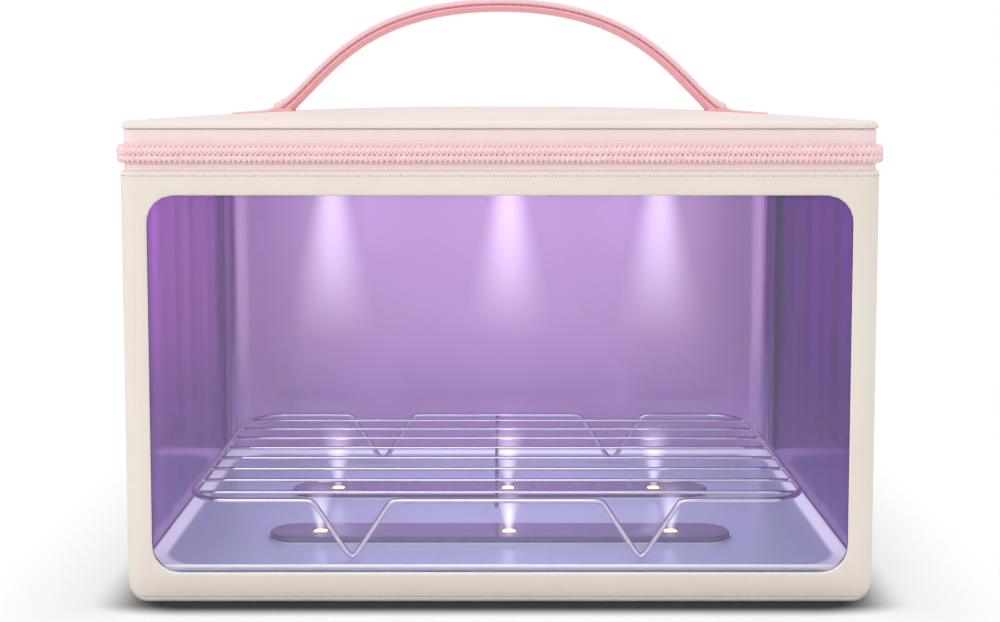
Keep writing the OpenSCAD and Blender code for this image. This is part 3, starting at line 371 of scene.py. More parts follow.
# The base sheet: the same leather over a stiff sheet, with its own rim under the body's lower
# edge. The two meet in a thin groove that follows the bottom corner.
base_t = 0.0004
base_z = rim_z * (1 - np.cos(np.linspace(0, math.pi / 2, 10))) * 0.93
base_profile = np.concatenate([
    np.stack([0 * base_z, base_z], -1),
    [[-0.00005, rim_z - 0.00007], [-0.0004, rim_z], [-0.0012, rim_z]],
])
base_grid, _ = carry(base_profile, wall_path)
base_bends = bent_in(base_profile[:, 1])
base_grid[..., :2] -= base_bends[..., None] * wall_path[1][None]
base_inner = [base_grid[:1] * np.array([s, s, 1]) for s in (0.0, 0.3, 0.6, 0.85, 0.97)]
base_sheet = surface("base_sheet", [np.concatenate([*base_inner, base_grid])])
place(thicken(base_sheet, base_t), cream, "case", "leather_cream", "base_panel")


# The seam under the zipper. A row of lockstitches, 3.6 mm long, holds leather and tape to the
# board. Thread and needle holes are pieces of their own, a little sunk into the leather.
stitch_pitch, stitch_gap, stitch_z, thread_r, hole_r = 0.00364, 0.0006, 0.1533, 0.00022, 0.00026
seam_path = outline(body_w, body_d, corner_r, side=200, corner=24)


def along(path, spots):
    """Points and normals of an outline at given lengths from its start."""
    points, normals, length = path
    point = np.stack([np.interp(spots, length, points[:, k]) for k in (0, 1)], -1)
    normal = np.stack([np.interp(spots, length, normals[:, k]) for k in (0, 1)], -1)
    return point, normal / np.linalg.norm(normal, axis=1)[:, None]


def rod_grid(path, across, radius, sides=8, caps=True):
    """A round bar along a path: path + radius * (across cos a + (tangent x across) sin a)."""
    tangent = np.gradient(path, axis=0)
    tangent /= np.linalg.norm(tangent, axis=1)[:, None]
    other = np.cross(tangent, across)
    a = np.linspace(0, 2 * math.pi, sides + 1)[None, :, None]
    radius = np.broadcast_to(np.asarray(radius, float), len(path))[:, None, None]
    ring = path[:, None] + radius * (np.cos(a) * across[:, None] + np.sin(a) * other[:, None])
    if caps:
        ends = [np.repeat(path[k, None, None], sides + 1, 1) for k in (0, -1)]
        ring = np.concatenate([ends[0], ring, ends[1]])
    return ring


stitch_starts = np.arange(0.0, seam_path[2][-1] - stitch_pitch, stitch_pitch)
thread_grids, hole_grids = [], []
for start in stitch_starts:
    t = np.linspace(0, 1, 7)
    point, normal = along(seam_path, start + stitch_gap + t * (stitch_pitch - 2 * stitch_gap))
    lift = 0.00012 * np.sin(math.pi * t) - 0.00008
    spine = np.concatenate([point + lift[:, None] * normal, np.full((7, 1), stitch_z)], 1)
    plump = thread_r * np.sqrt(np.clip(1 - (2 * t - 1) ** 4, 0.1, 1))
    thread_grids.append(rod_grid(spine, np.tile([0.0, 0.0, 1.0], (7, 1)), plump, 6))
    point, normal = along(seam_path, np.array([start, start]))
    spine = np.concatenate([point + np.array([[-0.0003], [0.00004]]) * normal, np.full((2, 1), stitch_z)], 1)
    hole_grids.append(rod_grid(spine, np.tile([0.0, 0.0, 1.0], (2, 1)), hole_r, 7))
seam_thread = surface("seam_thread", thread_grids)
seam_holes = surface("seam_holes", hole_grids)
# Twisted polyester thread: dull, with a slanting twist; a needle hole is only a dark dot of painted shade
thread_paint, thread_tree, thread_shader = finish("cream_thread", "#ddd3c4", 0.6, sheen_weight=0.3)
twist = add(thread_tree, "ShaderNodeTexWave", {"Scale": 1800.0, "Distortion": 1.0}, wave_type="BANDS",
            bands_direction="DIAGONAL")
place_of = add(thread_tree, "ShaderNodeTexCoord").outputs["Object"]
thread_tree.links.new(place_of, twist.inputs["Vector"])
thread_bump = add(thread_tree, "ShaderNodeBump", {"Height": twist.outputs["Fac"], "Strength": 0.4,
                                                 "Distance": 0.00005})
thread_tree.links.new(thread_bump.outputs[0], thread_shader.inputs["Normal"])
place(seam_thread, thread_paint, "case", "leather_cream")
place(seam_holes, finish("needle_hole_painted_shade", "#8f857b", 0.8)[0], "case", "leather_cream")


# The zipper tapes. Woven polyester tape, 0.6 mm thick: the lower one is sewn behind the
# leather, the upper one is the side of the lid. Fine ribs run along them, as the loom leaves.
part_z, zip_gap = 0.161, 0.218
tape_back, tape_face = -0.0018, -0.0012
lower_tape_z, upper_tape_z = (0.1505, 0.16095), (0.16105, 0.1697)


def trimmed(path, gap):
    """The outline without a gap in the middle of its back."""
    points, normals, length = path
    keep = (length > gap / 2 + 1e-5) & (length < length[-1] - gap / 2 - 1e-5)
    spots = np.concatenate([[gap / 2], length[keep], [length[-1] - gap / 2]])
    point, normal = along(path, spots)
    return point, normal, spots


def woven(name, colour, dark, rib, pick):
    """Plain woven band on UV in metres: ribs across it, threads along it, a soft fuzz, and painted shade in
    the weave's hollows.
    """
    made, tree, shader = finish(name, colour, 0.75, sheen_weight=0.35, sheen_roughness=0.4)
    uv = add(tree, "ShaderNodeTexCoord").outputs["UV"]
    split = add(tree, "ShaderNodeSeparateXYZ", {0: uv})
    waves = []
    for axis, size in ((0, pick), (1, rib)):
        angle = add(tree, "ShaderNodeMath", {0: split.outputs[axis], 1: 2 * math.pi / size},
                    operation="MULTIPLY")
        waves.append(add(tree, "ShaderNodeMath", {0: angle.outputs[0]}, operation="SINE"))
    cross = add(tree, "ShaderNodeMath", {0: waves[0].outputs[0], 1: waves[1].outputs[0]},
                operation="MULTIPLY")
    height = add(tree, "ShaderNodeMath", {0: cross.outputs[0], 1: 0.25, 2: 0.5}, operation="MULTIPLY_ADD")
    deep = add(tree, "ShaderNodeMath", {0: waves[1].outputs[0], 1: 0.25, 2: height.outputs[0]},
               operation="MULTIPLY_ADD")
    fuzz = add(tree, "ShaderNodeTexNoise", {"Vector": uv, "Scale": 400.0, "Detail": 3.0})
    # Painted shade: the colour darkens where the weave lies low, and the fuzz varies it at random
    level = add(tree, "ShaderNodeMath", {0: fuzz.outputs["Fac"], 1: 0.5, 2: deep.outputs[0]},
                operation="MULTIPLY_ADD")
    tone = add(tree, "ShaderNodeMix", {0: level.outputs[0], 6: linear(dark), 7: linear(colour)},
               data_type="RGBA")
    tree.links.new(tone.outputs[2], shader.inputs["Base Color"])
    bump = add(tree, "ShaderNodeBump", {"Height": deep.outputs[0], "Strength": 0.5, "Distance": 0.0001})
    tree.links.new(bump.outputs[0], shader.inputs["Normal"])
    return made


# Woven polyester: matt, with fine ribs and a soft bloom at its edges
tape_cloth = woven("pink_zipper_tape", "#f7e2e4", "#eccfd3", 0.0011, 0.0009)
tape_path = trimmed(outline(body_w, body_d, corner_r, side=60, corner=11), zip_gap)


def tape_band(low, high):
    """Closed section of a tape with rounded edges, from its lower to its upper edge."""
    half = (tape_face - tape_back) / 2
    middle = (tape_face + tape_back) / 2
    return np.concatenate([
        arc((middle, low + half), half, 180, 360, 7), arc((middle, high - half), half, 0, 180, 7),
        [[tape_back, low + half]],
    ])


def capped(grid):
    """The grid of a closed section carried along an open path, with both ends closed."""
    ends = [np.repeat(grid[:, k].mean(axis=0)[None, None], len(grid), 0) for k in (0, -1)]
    return np.concatenate([ends[0], grid, ends[1]], axis=1)


def tape(name, low, high):
    """One tape, from a lower to an upper height."""
    grid, uv = carry(tape_band(low, high), tape_path)
    uv = np.concatenate([uv[:, :1], uv, uv[:, -1:]], axis=1)
    return surface(name, [capped(grid)], [uv])


place(tape("lower_tape", *lower_tape_z), tape_cloth, "case", "zip_tape", "lower_zip_tape")
place(tape("upper_tape", *upper_tape_z), tape_cloth, "lid", "zip_tape", "upper_zip_tape")


# The chain. Each half is one nylon filament wound into a flat coil round a cord and sewn to
# its tape; the loops of one half lie between those of the other.
coil_pitch, filament_r, coil_out, coil_up, core_r = 0.00186, 0.00052, 0.00072, 0.00135, 0.00102
coil_offset, head_size = 0.00138, (0.00044, 0.00062, 0.00058)
coil_path = trimmed(outline(body_w, body_d, corner_r, side=400, corner=60), zip_gap)


def coil(name, centre_z, up, phase):
    """A flat coil: out = c + a cos t, height = z + b sin t, length = pitch t / 2 pi along the path."""
    total = coil_path[2][-1] - coil_path[2][0]
    turns = int(total / coil_pitch) - 1
    t = np.linspace(0, 2 * math.pi * turns, turns * 14) + phase
    spot = coil_path[2][0] + 0.5 * coil_pitch + (t - phase) * coil_pitch / (2 * math.pi)
    spot = spot + up * 0.10 * coil_pitch * np.sin(t)
    point, normal = along(coil_path, spot)
    out = 0.00010 + coil_out * np.cos(t)
    height = centre_z + coil_up * np.sin(t)
    spine = np.concatenate([point + out[:, None] * normal, height[:, None]], 1)
    radial = np.concatenate([np.cos(t)[:, None] * normal, np.sin(t)[:, None]], 1)
    tangent = np.gradient(spine, axis=0)
    tangent /= np.linalg.norm(tangent, axis=1)[:, None]
    radial -= (radial * tangent).sum(1)[:, None] * tangent
    radial /= np.linalg.norm(radial, axis=1)[:, None]
    core_point, core_normal, _ = coil_path
    core = np.concatenate([core_point + 0.0001 * core_normal, np.full((len(core_point), 1), centre_z)], 1)
    heads = []
    for spot in coil_path[2][0] + coil_pitch * (np.arange(turns) + 1 - 0.25 * up):
        point, normal = along(coil_path, np.array([spot]))
        side = np.array([-normal[0, 1], normal[0, 0], 0])
        out = np.array([*normal[0], 0])
        a, b = np.meshgrid(np.linspace(0, 2 * math.pi, 8), np.linspace(-math.pi / 2, math.pi / 2, 6))
        ball = (head_size[0] * np.cos(b) * np.cos(a))[..., None] * side
        ball = ball + (head_size[1] * np.cos(b) * np.sin(a))[..., None] * out
        ball[..., 2] += head_size[2] * np.sin(b)
        heads.append(ball + np.array([*(point[0] + 0.0007 * normal[0]), part_z + up * 0.00022]))
    cord = rod_grid(core, np.tile([0.0, 0.0, 1.0], (len(core), 1)), core_r, 12)
    return surface(name, [rod_grid(spine, radial, filament_r, 6), cord, *heads])


# Drawn nylon filament: smooth and a little see-through, with small highlights on each loop
nylon, nylon_tree, nylon_shader = finish("pink_nylon_filament", "#f8d0d5", 0.32, subsurface_weight=0.1,
                                         specular_ior_level=0.6)
nylon_shader.inputs["Subsurface Radius"].default_value = (0.002, 0.001, 0.001)
fleck = add(nylon_tree, "ShaderNodeTexNoise",
            {"Vector": add(nylon_tree, "ShaderNodeTexCoord").outputs["Object"], "Scale": 300.0})
nylon_tone = add(nylon_tree, "ShaderNodeMix",
                 {0: fleck.outputs["Fac"], 6: linear("#f5c9cf"), 7: linear("#ffe3e6")}, data_type="RGBA")
nylon_tree.links.new(nylon_tone.outputs[2], nylon_shader.inputs["Base Color"])
place(coil("upper_coil", part_z + coil_offset, 1, 0.0), nylon, "lid", "zip_coil", "upper_zip_coil")
place(coil("lower_coil", part_z - coil_offset, -1, math.pi), nylon, "case", "zip_coil", "lower_zip_coil")


# The lid. Leather over foam and a board: a low soft crown, a rolled edge, and an upright edge
# that overhangs the zipper tape.
lid_low, lid_edge_z, lid_crown, lid_roll = 0.1698, 0.1726, 0.0043, 0.0022
lid_w, lid_d, lid_r = body_w - 0.001, body_d - 0.001, corner_r - 0.0005


def lid_grid():
    """Rings of the lid scaled by s, at edge height + crown * (1 - s^2), then the rolled edge."""
    points = outline(lid_w - 2 * lid_roll, lid_d - 2 * lid_roll, lid_r - lid_roll, 60, 11)[0]
    s = np.concatenate([[0.0], np.linspace(0.04, 1, 30)])
    flat = points[None] * s[:, None, None]
    height = lid_edge_z + lid_crown * (1 - s ** 2)
    crown = np.concatenate([flat, np.broadcast_to(height[:, None, None], (*flat.shape[:2], 1))], -1)
    roll = np.concatenate([
        arc((-lid_roll, lid_edge_z - lid_roll), lid_roll, 85, 0, 10),
        [[0, lid_low + 0.0003], [-0.0002, lid_low + 0.0001], [-0.0016, lid_low]],
    ])
    edge, _ = carry(roll, outline(lid_w, lid_d, lid_r, 60, 11))
    return np.concatenate([crown, edge])


lid_cover = surface("lid_cover", [lid_grid()[:, ::-1]])
blush = leather("blush_leather", "#efe0dd", "#e8d8d4")
place(thicken(lid_cover, leather_t), blush, "lid", "leather_lid", "lid_top")


# The hinge: a strip of the same woven tape behind the case. It is sewn under both leathers
# and folds back on itself at the hinge line.
hinge_half, hinge_y, strip_t = 0.1088, 0.0986, 0.0005
# (y, height) from the leather of the body up to the leather of the lid
hinge_line = np.array([
    [0.0952, 0.1505], [0.0953, 0.1535], [0.0955, 0.1552], [0.0966, 0.1568], [0.0977, 0.1585],
    [0.0985, 0.1601], [0.0987, 0.1610], [0.0984, 0.1619], [0.0974, 0.1628], [0.0963, 0.1637],
    [0.0957, 0.1650], [0.0955, 0.1670], [0.0955, 0.1697],
])
hinge_t = np.linspace(0, 1, 40)
hinge_at = np.linspace(0, 1, len(hinge_line))
hinge_yz = np.stack([np.interp(hinge_t, hinge_at, hinge_line[:, k]) for k in (0, 1)], -1)
hinge_yz[1:-1] = (hinge_yz[:-2] + 2 * hinge_yz[1:-1] + hinge_yz[2:]) / 4
hinge_x = np.linspace(-hinge_half, hinge_half, 80)
hinge_grid = np.stack(np.broadcast_arrays(hinge_x[None, :], hinge_yz[:, 0, None], hinge_yz[:, 1, None]), -1)
hinge_uv = np.stack(np.broadcast_arrays(hinge_x[None, :], hinge_yz[:, 1, None]), -1)
hinge_strip = surface("hinge_strip", [hinge_grid[:, ::-1]], [hinge_uv[:, ::-1]])
hinge_strip.data.materials.append(tape_cloth)
thicken(hinge_strip, strip_t, 0.0)
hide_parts("hinge_lower", "hinge_upper")
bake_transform(hinge_strip)


# The handle. Pink webbing is folded over a cord and sewn, so that a stitched groove runs along
# each side; at the roots it is sewn to the lid and its outer layer runs out flat.
handle_x, root_z, arch_rise = 0.092, 0.17485, 0.0440
strap_half_w, strap_half_t, groove_dent = 0.0060, 0.0026, 0.11
# Within 6 mm of the roots the strap is thicker and wider, with ribs 1.2 mm apart
root_reach, root_thicker, root_wider, rib_h, rib_rate = 0.006, 0.42, 0.10, 0.00012, 5200


def bezier(t):
    """Cubic curve from the right root up to the middle of the arch, and its direction."""
    a, d = np.array([handle_x, root_z]), np.array([0, root_z + arch_rise])
    b, c = a + np.array([-0.017, 0.010]), np.array([handle_x - 0.0294, d[1]])
    t = t[:, None]
    spot = (1 - t) ** 3 * a + 3 * t * (1 - t) ** 2 * b + 3 * t * t * (1 - t) * c + t ** 3 * d
    slope = (1 - t) ** 2 * (b - a) + 2 * t * (1 - t) * (c - b) + t * t * (d - c)
    return spot, slope / np.linalg.norm(slope, axis=1)[:, None]


half_t = np.linspace(0, 1, 70)
spot, slope = bezier(half_t)
spine = np.concatenate([spot, (spot * [-1, 1])[-2::-1]])
slope = np.concatenate([slope, (slope * [1, -1])[-2::-1]])
normal = np.stack([slope[:, 1], -slope[:, 0]], -1)
run = np.concatenate([[0], np.cumsum(np.linalg.norm(np.diff(spine, axis=0), axis=1))])
from_root = np.minimum(run, run[-1] - run)
flare = np.exp(-(from_root / root_reach) ** 2)
thick = strap_half_t * (1 + root_thicker * flare) + rib_h * np.sin(run * rib_rate) * flare
wide = strap_half_w * (1 + root_wider * flare)
turn = np.linspace(0, 2 * math.pi, 65)
# Section: a rounded slab |y|^4 + |n|^4 with a dent in the middle of both narrow sides
section_y = np.sign(np.cos(turn)) * np.abs(np.cos(turn)) ** 0.5
section_n = np.sign(np.sin(turn)) * np.abs(np.sin(turn)) ** 0.6
dent = 1 - groove_dent * np.exp(-(section_n / 0.16) ** 2)
strap_y = wide[:, None] * (section_y * dent)[None]
strap_n = thick[:, None] * section_n[None]
strap = np.stack([spine[:, 0, None] + normal[:, 0, None] * strap_n, strap_y,
                  spine[:, 1, None] + normal[:, 1, None] * strap_n], -1)
ends = [np.repeat(strap[k].mean(axis=0)[None, None], 65, 1) for k in (0, -1)]
strap = np.concatenate([ends[0], strap, ends[1]])
section_steps = np.hypot(np.diff(section_y * strap_half_w), np.diff(section_n * strap_half_t))
around = np.cumsum(np.concatenate([[0], section_steps]))
quarter = around[-1] / 4
strap_run = np.concatenate([run[:1], run, run[-1:]])
strap_uv = np.stack(np.broadcast_arrays(strap_run[:, None], around[None, :]), -1)
handle_arch = surface("handle_arch", [strap], [strap_uv])
# Woven nylon webbing: a coral weave between its ribs. On its outer side a paler strip is painted
# sheen, and a dark line along both of the strip's edges, in the stitched grooves, is painted shade
webbing = woven("coral_webbing", "#f3b9c0", "#d98c98", 0.0013, 0.0017)
webbing_painted_light = webbing.copy()
webbing_painted_light.name = "webbing_painted_sheen_and_crease_shade"
strip_tree = webbing_painted_light.node_tree
strip_shader = next(n for n in strip_tree.nodes if n.bl_idname == "ShaderNodeBsdfPrincipled")
strip_uv = next(n for n in strip_tree.nodes if n.bl_idname == "ShaderNodeSeparateXYZ")
strip_off = add(strip_tree, "ShaderNodeMath", {0: strip_uv.outputs[1], 1: quarter}, operation="SUBTRACT")
strip_abs = add(strip_tree, "ShaderNodeMath", {0: strip_off.outputs[0]}, operation="ABSOLUTE")
painted_sheen_mask = add(strip_tree, "ShaderNodeMapRange", {0: strip_abs.outputs[0], 1: quarter - 0.0009,
                                                  2: quarter - 0.0003, 3: 1.0, 4: 0.0})
old_tone = strip_shader.inputs["Base Color"].links[0].from_socket
painted_sheen_tone = add(strip_tree, "ShaderNodeMix", {0: painted_sheen_mask.outputs[0], 6: old_tone, 7: linear("#edc4ca")},
                 data_type="RGBA")
strip_edge = add(strip_tree, "ShaderNodeMath", {0: strip_abs.outputs[0], 1: quarter}, operation="SUBTRACT")
strip_near = add(strip_tree, "ShaderNodeMath", {0: strip_edge.outputs[0]}, operation="ABSOLUTE")
crease_painted_shade = add(strip_tree, "ShaderNodeMapRange", {0: strip_near.outputs[0], 1: 0.00015, 2: 0.00070,
                                                    3: 0.72, 4: 0.0})
sheen_and_crease_tone = add(strip_tree, "ShaderNodeMix", {0: crease_painted_shade.outputs[0], 6: painted_sheen_tone.outputs[2],
                                              7: linear("#c27480")}, data_type="RGBA")
strip_tree.links.new(sheen_and_crease_tone.outputs[2], strip_shader.inputs["Base Color"])
handle_arch.data.materials.append(webbing_painted_light)
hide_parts("handle_strap")
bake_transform(handle_arch)

# Stitches in both grooves of the handle, 2.1 mm long and 3 mm apart. Their twisted thread is
# of a darker coral, so that each stitch shows.
groove_pitch, groove_stitch, groove_thread_r = 0.0030, 0.0021, 0.00026
groove_y = strap_half_w * (1 - groove_dent)
thread_runs = np.arange(0.006, run[-1] - 0.006, groove_pitch)
groove_grids = []
for side in (-1, 1):
    for start in thread_runs:
        t = np.linspace(0, 1, 6)
        s = start + t * groove_stitch
        x, z = np.interp(s, run, spine[:, 0]), np.interp(s, run, spine[:, 1])
        y = side * (groove_y * np.interp(s, run, wide) / strap_half_w - 0.0001 + 0.0003 * np.sin(math.pi * t))
        line = np.stack([x, y, z], -1)
        groove_grids.append(rod_grid(line, np.tile([0.0, 1.0, 0.0], (6, 1)), groove_thread_r, 6))
handle_thread = surface("handle_thread", groove_grids)
handle_thread.data.materials.append(finish("coral_thread", "#c4717d", 0.6, sheen_weight=0.3)[0])
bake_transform(handle_thread)

# The flat ends: one layer of webbing that lies on the lid's crown and thins out to its cut end
tail_in, tail_out, tail_half = 0.0860, 0.1105, 0.0066
tail_t, tail_thinner, hump_h, hump_reach = 0.0011, 0.0006, 0.0012, 0.0035
crown_half = lid_w / 2 - lid_roll


def crown_z(x):
    """Height of the lid's crown on its middle line: edge height + crown * (1 - (x / half)^2)."""
    return lid_edge_z + lid_crown * (1 - (x / crown_half) ** 2)


tail_grids, tail_uvs = [], []
for side in (-1, 1):
    x = np.linspace(tail_in, tail_out, 24)
    share = (x - tail_in) / (tail_out - tail_in)
    high = tail_t + hump_h * np.exp(-((x - handle_x) / hump_reach) ** 2) - tail_thinner * share
    across = np.linspace(0, 2 * math.pi, 33)
    y = tail_half * np.sign(np.cos(across)) * np.abs(np.cos(across)) ** 0.35
    lift = np.maximum(np.sin(across), -0.2)
    grid = np.stack(np.broadcast_arrays(side * x[:, None], side * y[None, :],
                                        crown_z(x)[:, None] + 0.0001 + high[:, None] * lift[None, :]), -1)
    caps = [np.repeat(grid[k].mean(axis=0)[None, None], 33, 1) for k in (0, -1)]
    grid = np.concatenate([caps[0], grid, caps[1]])
    tail_grids.append(grid)
    tail_uvs.append(np.stack([np.abs(grid[..., 0]), grid[..., 1]], -1))
place(surface("handle_tails", tail_grids, tail_uvs), webbing, "lid", "webbing_pink", "handle_feet")


# The lining: metallized foil on thin foam, its lavender tint painted violet light. It covers the side
# and back walls and the strip over the window, and folds over the boards' upper edges to the zipper tape.
liner_w, liner_d, liner_y, liner_r = 0.2604, 0.1752, -0.0046, 0.0065
liner_low, board_top, setback, rear_r = 0.009, 0.1573, 0.0011, 0.0105
opening_half = window_w / 2 + setback


def foil(name, colour, left_colour, right_colour, roughness, streak):
    """Foil whose tint is painted light, a coloured mirror with long soft dents.

    Past x = 0.124 m it takes the side walls' painted light and shade, lighter on the left than on
    the right, with upright streaks of painted reflection, and paler towards the floor with painted
    light; past y = 0.080 m it is satin, as the back wall's light is even.
    """
    made, tree, shader = finish(name, colour, roughness, metallic=0.95)
    place_in = add(tree, "ShaderNodeTexCoord").outputs["Object"]
    split = add(tree, "ShaderNodeSeparateXYZ", {0: place_in})
    across = add(tree, "ShaderNodeMath", {0: split.outputs[0]}, operation="ABSOLUTE")
    # Painted light and shade on the side walls: left lighter than right, upright streaks of reflection, paler
    # low down
    side = add(tree, "ShaderNodeMapRange", {0: across.outputs[0], 1: 0.1236, 2: 0.1290})
    hand = add(tree, "ShaderNodeMath", {0: split.outputs[0], 1: 0.0}, operation="GREATER_THAN")
    stretch = add(tree, "ShaderNodeMapping", {"Vector": place_in, "Scale": (1.0, 55.0, 1.2)})
    bands = add(tree, "ShaderNodeTexNoise", {"Vector": stretch.outputs[0], "Scale": 1.0, "Detail": 3.0})
    painted_reflection_streaks = add(tree, "ShaderNodeMapRange",
                  {"Value": bands.outputs["Fac"], 1: 0.35, 2: 0.65, 3: 0.84, 4: 1.18})
    wall = add(tree, "ShaderNodeMix", {0: hand.outputs[0], 6: linear(left_colour), 7: linear(right_colour)},
               data_type="RGBA")
    streaked = add(tree, "ShaderNodeVectorMath", {0: wall.outputs[2], 3: painted_reflection_streaks.outputs[0]},
                   operation="SCALE")
    low = add(tree, "ShaderNodeMapRange", {0: split.outputs[2], 1: 0.080, 2: 0.015, 3: 0.0, 4: 0.6})
    painted_paler_low = add(tree, "ShaderNodeMix", {0: low.outputs[0], 6: streaked.outputs[0], 7: linear("#cfc6e0")},
                data_type="RGBA")
    tone = add(tree, "ShaderNodeMix", {0: side.outputs[0], 6: linear(colour), 7: painted_paler_low.outputs[2]},
               data_type="RGBA")
    tree.links.new(tone.outputs[2], shader.inputs["Base Color"])
    tree.links.new(tone.outputs[2], shader.inputs["Specular Tint"])
    long = add(tree, "ShaderNodeMapping", {"Vector": place_in, "Scale": streak})
    dents = add(tree, "ShaderNodeTexNoise", {"Vector": long.outputs[0], "Scale": 1.0, "Detail": 2.0,
                                             "Roughness": 0.45})
    bump = add(tree, "ShaderNodeBump", {"Height": dents.outputs["Fac"], "Strength": 0.5, "Distance": 0.0012})
    tree.links.new(bump.outputs[0], shader.inputs["Normal"])
    smear = add(tree, "ShaderNodeMapRange", {"Value": dents.outputs["Fac"], "To Min": roughness * 0.7,
                                             "To Max": roughness * 1.7})
    rear = add(tree, "ShaderNodeMapRange", {0: split.outputs[1], 1: 0.0800, 2: 0.0826})
    satin = add(tree, "ShaderNodeMath", {0: rear.outputs[0], 1: 0.09, 2: smear.outputs[0]},
                operation="MULTIPLY_ADD")
    metal = add(tree, "ShaderNodeMapRange", {0: rear.outputs[0], 3: 0.95, 4: 0.55})
    tree.links.new(satin.outputs[0], shader.inputs["Roughness"])
    tree.links.new(metal.outputs[0], shader.inputs["Metallic"])
    return made


# The foam bends more widely round the two rear corners than round the front ones
tight, wide_bend = (outline(liner_w, liner_d, r, side=40, corner=13) for r in (liner_r, rear_r))
at_rear = tight[0][:, 1:] > 0
liner_path = [np.where(at_rear, wide_bend[k], tight[k]) for k in (0, 1)] + [tight[2]]
liner_rows = np.linspace(liner_low, board_top, 40)
liner_grid, _ = carry(np.stack([0 * liner_rows, liner_rows], -1), liner_path, (0, liner_y))
front_part = (np.abs(liner_path[0][:, 0]) < opening_half) & (liner_path[1][:, 1] < -0.5)
front_cols = np.flatnonzero(front_part)
before, after = front_cols[0], front_cols[-1]
head_row = int(np.searchsorted(liner_rows, window_z + window_h / 2 + setback))
liner_parts = [liner_grid[:, :before + 1], liner_grid[:, after:], liner_grid[head_row:, before:after + 1]]
fold_in, fold_out = liner_path[0] + [0, liner_y], outline(body_w - 0.0040, body_d - 0.0040, 0.006, 40, 13)[0]
fold_rows = [
    np.concatenate([fold_in + t * (fold_out - fold_in), np.full((len(fold_in), 1), board_top + h)], 1)
    for t, h in ((0, 0), (0.12, 0.00022), (0.5, 0.00028), (1, 0.0003))]
wall_foil_piece = surface("wall_foil", [g[:, ::-1] for g in liner_parts] + [np.stack(fold_rows)[:, ::-1]])
# The lavender tint is painted violet light; the side walls' tones, streaks and paler low part are painted
# light and shade
wall_foil = foil("foil_with_painted_violet_light", "#b590c8", "#d6a5e0", "#9e57ba", 0.12, (30, 30, 2.5))
place(wall_foil_piece, wall_foil, "case", "liner_lavender", "wall_liner")

# The reveal: the same foil turned round the cut edge of the front board, all round the window.
# Its dark colour is painted shade, except at the foot, where a pale colour is painted light from the tray.
reveal_ys, reveal_dark = (-0.0950, -0.0935, -0.0920), "#66528c"
reveal_path = outline(window_w + 2 * setback, window_h + 2 * setback, window_r + setback, 40, 13)
reveal = np.stack([
    np.stack([reveal_path[0][:, 0], np.full(len(reveal_path[0]), y), reveal_path[0][:, 1] + window_z], -1)
    for y in reveal_ys])
reveal_foil = foil("shaded_lavender_foil", reveal_dark, reveal_dark, reveal_dark, 0.25, (16, 16, 3.0))
reveal_tree = reveal_foil.node_tree
reveal_shader = next(n for n in reveal_tree.nodes if n.bl_idname == "ShaderNodeBsdfPrincipled")
reveal_z = add(reveal_tree, "ShaderNodeSeparateXYZ",
               {0: add(reveal_tree, "ShaderNodeTexCoord").outputs["Object"]})
reveal_painted_light_foot = add(reveal_tree, "ShaderNodeMapRange", {0: reveal_z.outputs[2], 1: 0.0135, 2: 0.0120})
reveal_tone = add(reveal_tree, "ShaderNodeMix", {0: reveal_painted_light_foot.outputs[0], 6: linear(reveal_dark),
                                                 7: linear("#b9c0ea")}, data_type="RGBA")
for socket in ("Base Color", "Specular Tint"):
    reveal_tree.links.new(reveal_tone.outputs[2], reveal_shader.inputs[socket])
place(surface("window_reveal", [reveal]), reveal_foil, "case", "liner_lavender")

# The same lining under the lid: a flat sheet, then a band round the lid's own rim that is given
# as (outwards, height)
lid_foil_z = 0.1685
lid_band_turn = ((0.0001, 0.1684), (0.0002, 0.1660), (0.0002, 0.1648), (0.0012, 0.1645), (0.0026, 0.1646))
lid_foil_xy, lid_foil_out, _ = outline(body_w - 0.0092, body_d - 0.0092, 0.0045, 40, 13)
lid_foil_level = np.ones((len(lid_foil_xy), 1))
lid_foil_rows = [np.concatenate([lid_foil_xy * s, lid_foil_z * lid_foil_level], 1)
                 for s in (0.0, 0.25, 0.5, 0.75, 1.0)]
band_rows = [np.concatenate([lid_foil_xy + out * lid_foil_out, z * lid_foil_level], 1)
             for out, z in lid_band_turn]
lid_foil = surface("lid_foil", [np.stack(lid_foil_rows + band_rows)])
# The lid's lining has the same painted violet tint
place(lid_foil, wall_foil, "lid", "liner_lavender", "lid_liner")


# The window: clear soft film, calendered, which hangs a little wavy behind the leather's turned
# edge. It is nearly invisible, with a faint sheen where it bends.
film_y, film_t = -0.0955, 0.0003
film_x = np.linspace(-0.1290, 0.1290, 60)
film_z = np.linspace(0.0075, 0.1498, 36)
gx, gz = np.meshgrid(film_x, film_z)
ripple = 0.00012 * np.sin(gx * 31 + 1) * np.sin(gz * 37) + 0.00008 * np.sin(gx * 83 + gz * 29)
film = surface("window_film", [np.stack([gx, film_y + ripple, gz], -1)])
clear = finish("clear_soft_film", "#f4f6ff", 0.04, alpha=0.05, specular_ior_level=0.5)[0]
place(thicken(film, film_t), clear, "case", "clear_film", "window_pane")


# The floor tray: lavender plastic, vacuum formed, with a sloped rim whose foot is rounded more
# widely than the rim itself. Above the floor it is painted nearly white, painted light on its rim.
tray_w, tray_d, floor_z, tray_top = liner_w - 0.0004, liner_d - 0.0004, 0.010, 0.012
tray_r, floor_margin, floor_r, tray_t = 0.0063, 0.013, 0.019, 0.0006


def ring(w, d, r, z, side=40, corner=17):
    """One level of a formed piece, a rounded rectangle at a height."""
    points = outline(w, d, r, side, corner)[0] + [0, liner_y]
    return np.concatenate([points, np.full((len(points), 1), z)], 1)


